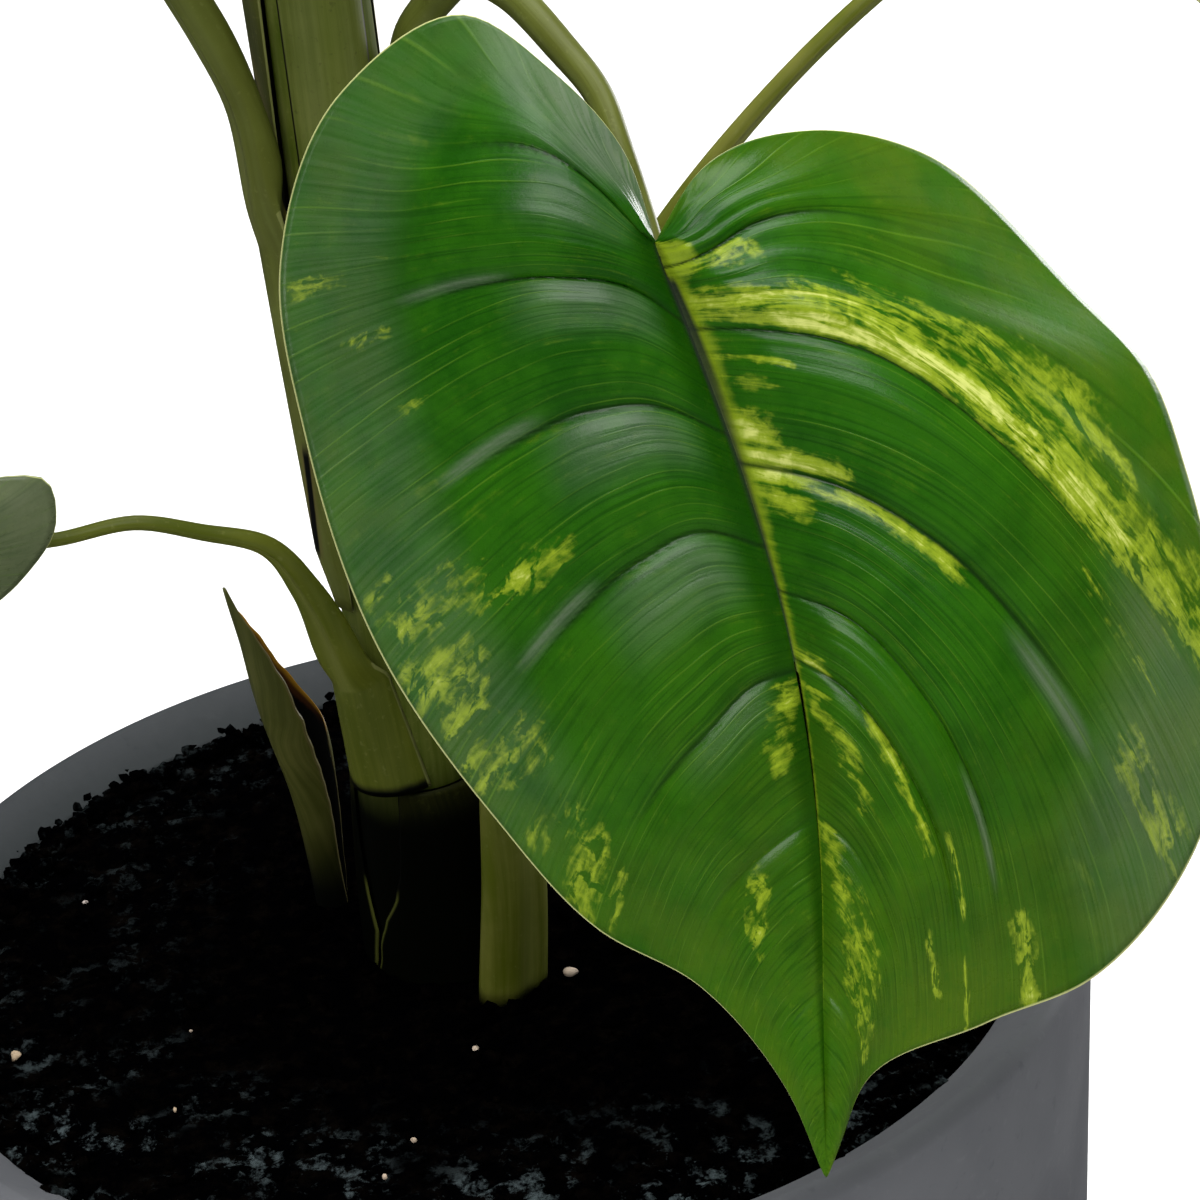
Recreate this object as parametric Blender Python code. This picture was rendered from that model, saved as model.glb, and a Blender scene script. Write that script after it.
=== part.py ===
"""A potted elephant ear: a pot, its soil, the sheathed stems and eight heart-shaped leaves.

Metres, +Z up. The origin is the centre of the pot's underside, and the pot stands on z = 0.
The plant grows 10 mm off the pot's axis and its stems stand on the soil.
Each stem is a petiole together with the sheath at its foot, and each leaf is one thin solid.
"""

import math

import bmesh
import bpy
import numpy as np

CLEARANCE = 0.0004
HUG_GAP = 0.0008

POT_HEIGHT = 0.270
POT_RADIUS = 0.150
BASE_RADIUS = 0.133
LIP_WIDTH = 0.016
LIP_DROP = 0.0065
FLOOR_THICKNESS = 0.016
TURNED_SIDES = 56
SOIL_TOP = 0.2620

AXIS_X = -0.0095
AXIS_Y = 0.0020
CORE_RADII = ((0.262, 0.0168), (0.30, 0.0160), (0.33, 0.0142), (0.44, 0.0126), (0.56, 0.0112))
SHEATH_DEPTH = 0.0028
STEM_SIDES = 12

BLADE_THICKNESS = 0.0010
BLADE_COLUMNS = 5
LEAF_DOME = 0.10
JOINT_ALONG = 0.0030

GREEN = (0.020, 0.090, 0.006)
OLIVE = (0.085, 0.110, 0.026)
DARK_OLIVE = (0.035, 0.042, 0.010)
GREY = (0.115, 0.118, 0.125)
EARTH = (0.006, 0.006, 0.006)

# Outlines run from the notch where the petiole joins to the tip, in leaf lengths:
# across the leaf, along it towards the tip, and out of its plane towards its upper face.
FRONT_LEFT = (
    (0.0, 0.0, 0.0), (-0.015, -0.099, -0.020), (-0.073, -0.194, -0.045),
    (-0.144, -0.262, -0.070), (-0.288, -0.205, -0.109), (-0.383, -0.036, -0.144),
    (-0.390, 0.140, -0.146), (-0.356, 0.376, -0.119), (-0.270, 0.570, -0.085),
    (-0.184, 0.706, -0.060), (-0.092, 0.780, -0.040), (-0.024, 0.898, -0.015),
    (0.0, 1.0, 0.0),
)
FRONT_RIGHT = (
    (0.0, 0.0, 0.0), (0.061, -0.063, -0.020), (0.188, -0.078, -0.099),
    (0.310, -0.028, -0.159), (0.447, 0.151, -0.159), (0.502, 0.235, -0.149),
    (0.524, 0.353, -0.139),
    (0.520, 0.560, -0.105), (0.475, 0.720, -0.088), (0.319, 0.861, -0.060),
    (0.198, 0.879, -0.040), (0.060, 0.910, -0.012), (0.017, 0.974, -0.002),
    (0.0, 1.0, 0.0),
)
FRONT_MIDRIB = (
    (0.0, 0.0, 0.0), (0.020, 0.095, -0.010), (0.049, 0.260, -0.015),
    (0.066, 0.450, -0.015), (0.055, 0.668, -0.015), (0.031, 0.815, -0.010),
    (0.0, 1.0, 0.0),
)
PLAIN_HALF = (
    (0.0, 0.0, 0.0), (0.020, -0.090, -0.020), (0.080, -0.190, -0.045),
    (0.170, -0.245, -0.065), (0.290, -0.185, -0.090), (0.380, -0.030, -0.110),
    (0.400, 0.150, -0.115), (0.360, 0.380, -0.095), (0.270, 0.580, -0.070),
    (0.180, 0.720, -0.045), (0.090, 0.830, -0.025), (0.025, 0.930, -0.008),
    (0.0, 1.0, 0.0),
)
PLAIN_MIDRIB = ((0.0, 0.0, 0.0), (0.010, 0.300, 0.010), (0.010, 0.650, 0.008), (0.0, 1.0, 0.0))
# Each pair of main veins: where it leaves the midrib, and where it ends on the left and
# right edges, as fractions of their lengths.
FRONT_VEINS = (
    (0.0, 0.0, 0.0), (0.008, 0.27, 0.25), (0.095, 0.42, 0.545), (0.22, 0.55, 0.65),
    (0.35, 0.665, 0.765), (0.46, 0.78, 0.845), (0.62, 0.86, 0.895), (0.80, 0.93, 0.95),
    (1.0, 1.0, 1.0),
)
PLAIN_VEINS = (
    (0.0, 0.0, 0.0), (0.008, 0.26, 0.26), (0.095, 0.43, 0.43), (0.22, 0.56, 0.56),
    (0.35, 0.67, 0.67), (0.47, 0.77, 0.77), (0.62, 0.86, 0.86), (0.80, 0.93, 0.93),
    (1.0, 1.0, 1.0),
)
# How far each pair of main veins arches towards the notch, as a fraction of its length.
VEIN_ARCHES = (-0.20, -0.10, 0.20, 0.27, 0.27, 0.27, 0.27, 0.27, 0.27)


def mirrored(outline, spread):
    """The other half of a leaf, with its breadth multiplied by spread."""
    return tuple((-across * spread, along, rise) for across, along, rise in outline)


def plain(left_spread, right_spread):
    left = mirrored(PLAIN_HALF, left_spread)
    right = mirrored(PLAIN_HALF, -right_spread)
    return (left, right, PLAIN_MIDRIB, PLAIN_VEINS)


# Each leaf: its notch, its tip, the way its upper side faces, its outline, its droop and how
# far under it the petiole ends.
LEAVES = {
    "front": (
        (0.0540, -0.1000, 0.4874), (0.0663, -0.1700, 0.2990), (0.02, -0.94, 0.35),
        (FRONT_LEFT, FRONT_RIGHT, FRONT_MIDRIB, FRONT_VEINS), 0.0, 0.0030,
    ),
    "left": (
        (-0.1184, -0.0487, 0.4198), (-0.2147, -0.0050, 0.3484), (0.44, -1.0, 0.37),
        plain(0.98, 0.68), 0.08, 0.0018,
    ),
    "upper_left": (
        (-0.1270, 0.0080, 0.5760), (-0.2250, -0.0250, 0.4500), (-0.70, -0.35, 0.60),
        plain(1.0, 0.95), 0.12, 0.0028,
    ),
    "right": (
        (0.2145, 0.0148, 0.5225), (0.3300, -0.0200, 0.4250), (0.50, -0.40, 0.75),
        plain(0.95, 1.0), 0.12, 0.0025,
    ),
    "top": (
        (0.0255, -0.0190, 0.8230), (0.0450, -0.1250, 0.7000), (0.10, -0.60, 0.80),
        plain(1.0, 1.0), 0.12, 0.0014,
    ),
    "back_left": (
        (-0.1145, 0.1650, 0.7150), (-0.1750, 0.2500, 0.5950), (-0.50, 0.60, 0.70),
        plain(1.0, 0.94), 0.12, 0.0026,
    ),
    "back_right": (
        (0.1170, 0.1500, 0.6660), (0.1950, 0.2150, 0.5500), (0.55, 0.55, 0.70),
        plain(0.96, 1.0), 0.12, 0.0026,
    ),
    "high": (
        (-0.0585, -0.1115, 0.7065), (-0.1050, -0.2050, 0.6300), (-0.30, -0.60, 0.80),
        plain(0.92, 0.92), 0.10, 0.0026,
    ),
}


def smooth(knots, values, at):
    """A smooth curve through values at the increasing knots, read at each number in at."""
    knots = np.asarray(knots, float)
    values = np.asarray(values, float).reshape(len(knots), -1)
    at = np.clip(np.atleast_1d(at), knots[0], knots[-1])
    slopes = np.gradient(values, knots, axis=0)
    index = np.clip(np.searchsorted(knots, at, side="right") - 1, 0, len(knots) - 2)
    span = (knots[index + 1] - knots[index])[:, None]
    f = (at - knots[index])[:, None] / span
    low = values[index]
    high = values[index + 1]
    rise = slopes[index] * span * f * (1 - f) ** 2 - slopes[index + 1] * span * f**2 * (1 - f)
    return low + (high - low) * f**2 * (3 - 2 * f) + rise


def lengths_along(points):
    """The fraction of a path's length at each of its points."""
    steps = np.linalg.norm(np.diff(np.asarray(points, float), axis=0), axis=1)
    run = np.concatenate([[0.0], np.cumsum(steps)])
    return run / run[-1]


def unit(vector):
    vector = np.asarray(vector, float)
    return vector / np.linalg.norm(vector)


def leaf_frame(notch, tip, face):
    """A leaf's directions across, along and out of its upper side, and its length."""
    span = np.asarray(tip, float) - notch
    along = unit(span)
    normal = unit(np.asarray(face, float) - np.dot(face, along) * along)
    return np.cross(normal, along), along, normal, np.linalg.norm(span)


def joint_of(name):
    """Where a petiole ends, just under its leaf and a little past the notch."""
    notch, tip, face, _, _, under = LEAVES[name]
    _, along, normal, _ = leaf_frame(notch, tip, face)
    return np.asarray(notch) + JOINT_ALONG * along - under * normal


def painted(name, colour, roughness):
    material = bpy.data.materials.new(name)
    material.use_nodes = True
    shader = material.node_tree.nodes["Principled BSDF"]
    shader.inputs["Base Color"].default_value = (*colour, 1.0)
    shader.inputs["Roughness"].default_value = roughness
    shader.inputs["Metallic"].default_value = 0.0
    return material


def finish(name, shape, colour, roughness, crease=50.0):
    """Turns a bmesh into a named, smooth-shaded object with its own material."""
    bmesh.ops.recalc_face_normals(shape, faces=shape.faces)
    mesh = bpy.data.meshes.new(name)
    shape.to_mesh(mesh)
    shape.free()
    mesh.shade_smooth()
    mesh.set_sharp_from_angle(angle=math.radians(crease))
    mesh.materials.append(painted(name, colour, roughness))
    piece = bpy.data.objects.new(name, mesh)
    bpy.context.scene.collection.objects.link(piece)
    return piece


def rings_to_solid(rings, shape):
    """Joins closed rings of vertices in order and caps the first and the last."""
    for low, high in zip(rings, rings[1:]):
        for k in range(len(low)):
            after = (k + 1) % len(low)
            shape.faces.new((low[k], low[after], high[after], high[k]))
    shape.faces.new(rings[0])
    shape.faces.new(rings[-1])


def turned(name, profile, colour, roughness, ripple=None):
    """A solid of revolution about Z. The profile's (radius, height) points start and end on
    the axis, and ripple(radius, angle, height) adds a small rise."""
    shape = bmesh.new()
    rings = []
    for radius, height in profile[1:-1]:
        ring = []
        for k in range(TURNED_SIDES):
            angle = 2 * math.pi * k / TURNED_SIDES
            lift = ripple(radius, angle, height) if ripple else 0.0
            place = (radius * math.cos(angle), radius * math.sin(angle), height + lift)
            ring.append(shape.verts.new(place))
        rings.append(ring)
    for low, high in zip(rings, rings[1:]):
        for k in range(TURNED_SIDES):
            after = (k + 1) % TURNED_SIDES
            shape.faces.new((low[k], low[after], high[after], high[k]))
    for end, ring in ((profile[0], rings[0]), (profile[-1], rings[-1])):
        pole = shape.verts.new((0.0, 0.0, end[1]))
        for k in range(TURNED_SIDES):
            shape.faces.new((pole, ring[k], ring[(k + 1) % TURNED_SIDES]))
    return finish(name, shape, colour, roughness, crease=40.0)


def corner(centre, radius, start, end, steps=3):
    """Points on a rounded corner of a profile, from one angle in degrees to another."""
    return [
        (
            centre[0] + radius * math.cos(math.radians(start + (end - start) * k / steps)),
            centre[1] + radius * math.sin(math.radians(start + (end - start) * k / steps)),
        )
        for k in range(steps + 1)
    ]


def inner_radius(height):
    """The pot's inside wall, which leans with the outside."""
    lean = (POT_RADIUS - BASE_RADIUS) / POT_HEIGHT
    return POT_RADIUS - LIP_WIDTH - lean * (POT_HEIGHT - height)


def make_pot():
    lip_edge = POT_HEIGHT - LIP_DROP
    profile = [(0.0, 0.0)]
    profile += corner((BASE_RADIUS - 0.004, 0.004), 0.004, -90, 0)
    profile += [(POT_RADIUS - 0.0009, POT_HEIGHT - 0.016)]
    profile += corner((POT_RADIUS - 0.004, POT_HEIGHT - 0.004), 0.004, 0, 105)
    profile += corner((inner_radius(lip_edge) + 0.002, lip_edge - 0.002), 0.002, 105, 180, 2)
    profile += corner((inner_radius(0.026) - 0.010, FLOOR_THICKNESS + 0.010), 0.010, 0, -90)
    profile += [(0.0, FLOOR_THICKNESS)]
    turned("pot", profile, GREY, 0.55)


def make_soil():
    bottom = FLOOR_THICKNESS + CLEARANCE
    profile = [(0.0, bottom)]
    profile += corner((inner_radius(0.026) - 0.010, bottom + 0.010), 0.010 - CLEARANCE, -90, 0)
    profile += [(inner_radius(SOIL_TOP - 0.003) - CLEARANCE, SOIL_TOP - 0.003)]
    profile += [(inner_radius(SOIL_TOP) - 0.003, SOIL_TOP)]
    profile += [(0.110, SOIL_TOP), (0.085, SOIL_TOP), (0.060, SOIL_TOP), (0.0, SOIL_TOP)]

    def lumps(radius, angle, height):
        if height < SOIL_TOP - 0.001 or radius < 0.07:
            return 0.0
        return 0.0007 * math.sin(3 * angle + 0.6) + 0.0006 * math.sin(7 * angle + radius * 90)

    turned("soil", profile, EARTH, 0.95, lumps)


def core_radius(height):
    return float(smooth(*zip(*CORE_RADII), min(height, CORE_RADII[-1][0]))[0, 0])


def hugging(bottom, top, azimuths, widths, depths, layers, steps=7):
    """Stations of a sheath wrapped on the core. Each pair gives the value at its bottom and
    its top, azimuths are in degrees from +X, and layers count the sheaths beneath it."""
    stations = []
    for k in range(steps):
        f = k / (steps - 1)
        height = bottom + (top - bottom) * f
        angle = math.radians(azimuths[0] + (azimuths[1] - azimuths[0]) * f)
        layer = layers[0] + (layers[1] - layers[0]) * f
        wrap = core_radius(height) + HUG_GAP + layer * (SHEATH_DEPTH + HUG_GAP)
        width = widths[0] + (widths[1] - widths[0]) * f
        depth = depths[0] + (depths[1] - depths[0]) * f
        x = AXIS_X + wrap * math.cos(angle)
        y = AXIS_Y + wrap * math.sin(angle)
        stations.append((x, y, height, width, depth, wrap, 1.0))
    return stations


def free(stations, before, start, steps=16):
    """Stations of a petiole that leaves the sheath's last two stations smoothly and goes
    through (x, y, z, width, depth)."""
    rows = [before, start] + [(*station, 0.060, 0.0) for station in stations]
    knots = lengths_along([row[:3] for row in rows])
    at = np.linspace(knots[1], 1, steps + 1)[1:]
    return [tuple(row) for row in smooth(knots, np.array(rows), at)]


def section(width, depth, wrap, hug, sides):
    """A lens bent round a circle of radius wrap: (across, outward) points. With hug at 1 its
    inner side lies on that circle, and at 0 it is an ellipse."""
    points = []
    for k in range(sides):
        angle = 2 * math.pi * k / sides
        even = 2 * abs(1 - 2 * k / sides) - 1
        across = width / 2 * (math.cos(angle) * (1 - hug) + even * hug)
        side = 1 + hug if math.sin(angle) > 0 else 1 - hug
        outward = depth / 2 * math.sin(angle) * side
        turn = across / wrap
        points.append(
            ((wrap + outward) * math.sin(turn), (wrap + outward) * math.cos(turn) - wrap)
        )
    return points


def swept(name, stations, outward, colour, level=1, sides=STEM_SIDES):
    """A solid through stations of (x, y, z, width, depth, wrap, hug), whose outer face starts
    towards outward and follows the path without twisting. The first sections lie level."""
    shape = bmesh.new()
    points = np.array([station[:3] for station in stations])
    tangents = np.gradient(points, axis=0)
    tangents[:level] = (0.0, 0.0, 1.0)
    rings = []
    for point, tangent, station in zip(points, tangents, stations):
        along = unit(tangent)
        outward = unit(outward - np.dot(outward, along) * along)
        across = np.cross(outward, along)
        ring = [
            shape.verts.new(point + across * x + outward * y)
            for x, y in section(*station[3:7], sides)
        ]
        rings.append(ring)
    rings_to_solid(rings, shape)
    return finish(name, shape, colour, 0.45)


def compass(azimuth):
    angle = math.radians(azimuth)
    return np.array([math.cos(angle), math.sin(angle), 0.0])


def make_core():
    """The innermost stem, which carries the top leaf."""
    stations = []
    for height in np.linspace(SOIL_TOP + CLEARANCE, 0.555, 11):
        size = 2 * core_radius(height)
        stations.append((AXIS_X, AXIS_Y, height, size, size, 0.5, 0.0))
    rise = [
        (-0.0085, 0.0025, 0.590, 0.0150, 0.0150),
        (-0.0050, 0.0045, 0.640, 0.0100, 0.0100),
        (0.0020, 0.0080, 0.710, 0.0075, 0.0072),
        (0.0110, 0.0070, 0.770, 0.0064, 0.0060),
        (0.0180, -0.0010, 0.808, 0.0058, 0.0054),
        (*joint_of("top"), 0.0048, 0.0046),
    ]
    swept("stem_top", stations + free(rise, *stations[-2:], 14), compass(-90), OLIVE, 10)


def curled(name, rows, sides):
    """A thin shell round an upright axis through rows of (x, y, z, radius, start, end,
    thickness). Its edges lie at the start and end azimuths and it is thickest between them."""
    shape = bmesh.new()
    rings = []
    for x, y, height, radius, start, end, thickness in rows:
        ring = []
        for k in range(sides):
            angle = math.radians(start + (end - start) * (1 - abs(1 - 2 * k / sides)))
            reach = radius + thickness * max(0.0, math.sin(2 * math.pi * k / sides)) ** 0.6
            point = (x + reach * math.cos(angle), y + reach * math.sin(angle), height)
            ring.append(shape.verts.new(point))
        rings.append(ring)
    rings_to_solid(rings, shape)
    return finish(name, shape, DARK_OLIVE, 0.45)


# The lowest sheath: heights, and the azimuths where its wall starts and ends.
LOWER_SHEATH = (
    (0.2624, 206.5, 563.5), (0.2740, 217.0, 573.0), (0.2784, 223.0, 569.0),
    (0.2856, 237.0, 563.0), (0.2953, 244.0, 556.0), (0.3080, 248.0, 550.0),
    (0.3150, 250.0, 548.0),
)


def make_lower_sheath():
    """The lowest sheath wraps the stem's foot and its edges part in a V at the front left."""
    rows = []
    for height, start, end in LOWER_SHEATH:
        thickness = 0.0034 - 0.02 * (height - LOWER_SHEATH[0][0])
        radius = core_radius(height) + HUG_GAP
        rows.append((AXIS_X, AXIS_Y, height, radius, start, end, thickness))
    curled("lower_sheath", rows, 48)


# The lost leaf's sheath: x, y, height, radius, the azimuths where its wall starts and ends,
# and its thickness.
BUD_SHEATH = (
    (-0.0345, 0.0285, 0.2624, 0.0034, 30.0, 325.0, 0.0016),
    (-0.0348, 0.0285, 0.2740, 0.0037, 15.0, 316.0, 0.0016),
    (-0.0356, 0.0285, 0.2960, 0.0050, 2.0, 305.0, 0.0016),
    (-0.0376, 0.0285, 0.3120, 0.0064, 0.0, 295.0, 0.0015),
    (-0.0386, 0.0287, 0.3190, 0.0068, 56.0, 288.0, 0.0014),
    (-0.0398, 0.0289, 0.3280, 0.0069, 94.0, 280.0, 0.0013),
    (-0.0412, 0.0292, 0.3390, 0.0068, 126.0, 256.0, 0.0011),
    (-0.0426, 0.0294, 0.3470, 0.0068, 160.0, 232.0, 0.0009),
    (-0.0440, 0.0296, 0.3550, 0.0069, 198.0, 208.0, 0.0007),
)


def make_bud_sheath():
    """A short pointed sheath of a lost leaf, curled like a quill and open towards the stems."""
    heights = [row[2] for row in BUD_SHEATH]
    rows = smooth(heights, BUD_SHEATH, np.linspace(heights[0], heights[-1], 18))
    curled("bud_sheath", rows, 28)


STEMS = {
    "front": (
        (0.410, 0.488, (-11, -14), (0.0100, 0.0112), (0.0020, 0.0042), (0, 0)),
        (
            (0.0095, -0.0065, 0.5030, 0.0125, 0.0070),
            (0.0168, -0.0105, 0.5125, 0.0120, 0.0080),
            (0.0238, -0.0215, 0.5215, 0.0095, 0.0080),
            (0.0312, -0.0370, 0.5225, 0.0078, 0.0074),
            (0.0406, -0.0550, 0.5155, 0.0070, 0.0068),
            (0.0473, -0.0700, 0.5086, 0.0062, 0.0062),
            (0.0498, -0.0805, 0.5010, 0.0056, 0.0056),
            (0.0522, -0.0885, 0.4916, 0.0052, 0.0050),
        ),
    ),
    "left": (
        (0.3165, 0.345, (-124, -136), (0.0240, 0.0165), (0.0050, 0.0058), (0, 0.35)),
        (
            (-0.0243, -0.0138, 0.3553, 0.0126, 0.0084),
            (-0.0296, -0.0190, 0.3755, 0.0080, 0.0066),
            (-0.0378, -0.0248, 0.3915, 0.0052, 0.0048),
            (-0.0507, -0.0270, 0.3975, 0.0042, 0.0040),
            (-0.0652, -0.0290, 0.4031, 0.0037, 0.0036),
            (-0.0840, -0.0305, 0.4022, 0.0035, 0.0034),
            (-0.1020, -0.0330, 0.4040, 0.0033, 0.0033),
        ),
    ),
    "upper_left": (
        (0.3620, 0.4560, (200, 197), (0.0108, 0.0130), (0.0036, 0.0044), (0, 1)),
        (
            (-0.0271, -0.0042, 0.4740, 0.0115, 0.0098),
            (-0.0288, -0.0036, 0.4900, 0.0110, 0.0086),
            (-0.0340, -0.0030, 0.5072, 0.0105, 0.0098),
            (-0.0385, -0.0028, 0.5180, 0.0100, 0.0098),
            (-0.0450, -0.0022, 0.5320, 0.0092, 0.0090),
            (-0.0620, 0.0, 0.5560, 0.0076, 0.0074),
            (-0.0850, 0.0040, 0.5740, 0.0062, 0.0060),
            (-0.1070, 0.0080, 0.5800, 0.0054, 0.0050),
        ),
    ),
    "back_left": (
        (0.3700, 0.5450, (148, 151), (0.0160, 0.0200), (0.0012, 0.0064), (0, 0)),
        (
            (-0.0275, 0.0150, 0.5720, 0.0120, 0.0070),
            (-0.0350, 0.0290, 0.6120, 0.0088, 0.0070),
            (-0.0520, 0.0560, 0.6600, 0.0068, 0.0060),
            (-0.0740, 0.0940, 0.7020, 0.0058, 0.0054),
            (-0.0960, 0.1330, 0.7200, 0.0052, 0.0050),
        ),
    ),
    "back_right": (
        (0.3900, 0.5300, (52, 50), (0.0130, 0.0150), (0.0020, 0.0028), (0, 0)),
        (
            (0.0030, 0.0170, 0.5600, 0.0115, 0.0068),
            (0.0150, 0.0330, 0.5980, 0.0084, 0.0066),
            (0.0360, 0.0620, 0.6360, 0.0066, 0.0060),
            (0.0640, 0.0960, 0.6640, 0.0056, 0.0052),
            (0.0930, 0.1260, 0.6720, 0.0050, 0.0048),
        ),
    ),
    "high": (
        (0.3620, 0.5500, (-87, -87), (0.0200, 0.0215), (0.0020, 0.0028), (0, 0)),
        (
            (-0.0100, -0.0160, 0.5800, 0.0130, 0.0072),
            (-0.0150, -0.0290, 0.6200, 0.0090, 0.0070),
            (-0.0250, -0.0520, 0.6650, 0.0068, 0.0060),
            (-0.0400, -0.0810, 0.6970, 0.0056, 0.0052),
        ),
    ),
}

STEM_RIGHT = (
    (0.0064, -0.0225, SOIL_TOP + CLEARANCE, 0.0196, 0.0130),
    (0.0096, -0.0215, 0.2900, 0.0184, 0.0122),
    (0.0120, -0.0185, 0.3300, 0.0132, 0.0106),
    (0.0215, -0.0125, 0.3720, 0.0098, 0.0088),
    (0.0375, -0.0055, 0.4110, 0.0076, 0.0072),
    (0.0598, 0.0, 0.4430, 0.0060, 0.0058),
    (0.0862, 0.0020, 0.4716, 0.0048, 0.0048),
    (0.1134, 0.0050, 0.4936, 0.0046, 0.0046),
    (0.1450, 0.0085, 0.5120, 0.0044, 0.0044),
    (0.1800, 0.0118, 0.5225, 0.0042, 0.0042),
)


def make_stems():
    make_core()
    for name, (sheath, petiole) in STEMS.items():
        stations = hugging(*sheath)
        petiole += ((*joint_of(name), 0.9 * petiole[-1][3], 0.9 * petiole[-1][4]),)
        stations += free(petiole, *stations[-2:])
        swept(f"stem_{name}", stations, compass(sheath[2][0]), OLIVE, 6)
    right = STEM_RIGHT + ((*joint_of("right"), 0.0040, 0.0040),)
    rows = [(*row, 0.5, 0.0) for row in right]
    at = lengths_along([row[:3] for row in rows])
    stations = [tuple(row) for row in smooth(at, rows, np.linspace(0, 1, 22))]
    swept("stem_right", stations, compass(-50), OLIVE)


def leaf_grid(left, right, midrib, veins, rows_per_vein, dome):
    """Points of a leaf's middle surface in leaf lengths, as rows along arched vein lines
    from the left edge over the midrib to the right edge."""
    at = np.linspace(0, len(veins) - 1, (len(veins) - 1) * rows_per_vein + 1)
    roots, left_ends, right_ends = smooth(range(len(veins)), veins, at).T
    arch = smooth(range(len(veins)), VEIN_ARCHES, at)
    spine = smooth(lengths_along(midrib), midrib, roots)
    columns = np.linspace(0, 1, BLADE_COLUMNS + 1)
    halves = []
    for outline, ends, side in ((left, left_ends, -1.0), (right, right_ends, 1.0)):
        edge = smooth(lengths_along(outline), outline, ends)
        chord = edge - spine
        bend = np.stack([chord[:, 1], -chord[:, 0]], axis=1) * side * arch
        handle = (spine + edge)[:, :2] / 2 + bend
        half = []
        for t in columns:
            flat = (1 - t) ** 2 * spine[:, :2] + 2 * t * (1 - t) * handle + t**2 * edge[:, :2]
            reach = np.linalg.norm(chord[:, :2], axis=1)
            rise = spine[:, 2] + chord[:, 2] * t**2 + dome * reach * 4 * t * (1 - t) ** 1.5
            half.append(np.column_stack([flat, rise]))
        halves.append(np.array(half))
    return np.concatenate([halves[0][:0:-1], halves[1]]).transpose(1, 0, 2)


def make_leaf(name, notch, tip, face, outline, rows_per_vein, droop):
    """A leaf hung between its notch and its tip, with its upper side turned to face."""
    across, along, normal, length = leaf_frame(notch, tip, face)
    grid = leaf_grid(*outline, rows_per_vein, LEAF_DOME)
    bow = droop * grid[..., 1] * (1 - grid[..., 1])
    places = (
        notch
        + length * grid[..., 0:1] * across
        + length * grid[..., 1:2] * along
        + length * (grid[..., 2] + bow)[..., None] * normal
    )
    shape = bmesh.new()
    rows = [[shape.verts.new(place) for place in row] for row in places]
    for low, high in zip(rows, rows[1:]):
        for k in range(len(low) - 1):
            shape.faces.new((low[k], low[k + 1], high[k + 1], high[k]))
    bmesh.ops.remove_doubles(shape, verts=shape.verts, dist=0.00005)
    piece = finish(name, shape, GREEN, 0.35, crease=60.0)
    solid = piece.modifiers.new("thickness", "SOLIDIFY")
    solid.thickness = BLADE_THICKNESS
    solid.offset = 0.0
    return piece


def make_leaves():
    for name, (notch, tip, face, outline, droop, _) in LEAVES.items():
        rows = {"front": 4, "left": 3}.get(name, 2)
        make_leaf(f"leaf_{name}", notch, tip, face, outline, rows, droop)


def main():
    for thing in list(bpy.data.objects):
        bpy.data.objects.remove(thing, do_unlink=True)
    make_pot()
    make_soil()
    make_stems()
    make_lower_sheath()
    make_bud_sheath()
    make_leaves()


main()
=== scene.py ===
"""The potted elephant ear's surfaces, materials, studio and camera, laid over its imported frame.

Metres, +Z up. Leaves, stems and sheaths follow the same outlines and paths as the CAD, many times
finer, and carry the quilting, veins, streaks and fibres that the CAD leaves out.
"""

import math

import bmesh
import bpy
import numpy as np
from mathutils import Matrix, Vector, noise


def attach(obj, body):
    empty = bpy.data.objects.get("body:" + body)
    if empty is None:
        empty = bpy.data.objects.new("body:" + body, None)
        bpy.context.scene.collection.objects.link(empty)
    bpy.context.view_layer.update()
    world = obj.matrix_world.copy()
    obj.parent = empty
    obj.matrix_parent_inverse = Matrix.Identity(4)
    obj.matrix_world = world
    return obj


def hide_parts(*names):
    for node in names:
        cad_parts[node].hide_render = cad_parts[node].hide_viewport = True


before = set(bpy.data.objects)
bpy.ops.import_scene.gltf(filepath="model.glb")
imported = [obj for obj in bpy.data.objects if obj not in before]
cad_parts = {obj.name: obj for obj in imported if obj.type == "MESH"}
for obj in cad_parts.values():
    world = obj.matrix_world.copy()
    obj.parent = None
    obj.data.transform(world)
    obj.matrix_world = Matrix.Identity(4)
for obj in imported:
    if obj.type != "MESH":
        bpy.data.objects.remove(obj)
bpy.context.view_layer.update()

ROOT = "root"

# ---- outlines shared with the CAD

# The axis that the sheaths wrap round, the gap between one and the next, their usual depth,
# and the core's radius at some heights.
AXIS_X = -0.0095
AXIS_Y = 0.002
HUG_GAP = 0.0008
SHEATH_DEPTH = 0.0028
CORE_RADII = ((0.262, 0.0168), (0.3, 0.016), (0.33, 0.0142), (0.44, 0.0126), (0.56, 0.0112))
# How far a half blade bulges, as a fraction of its breadth, and how far past the notch a
# petiole ends.
LEAF_DOME = 0.1
JOINT_ALONG = 0.003

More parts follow.
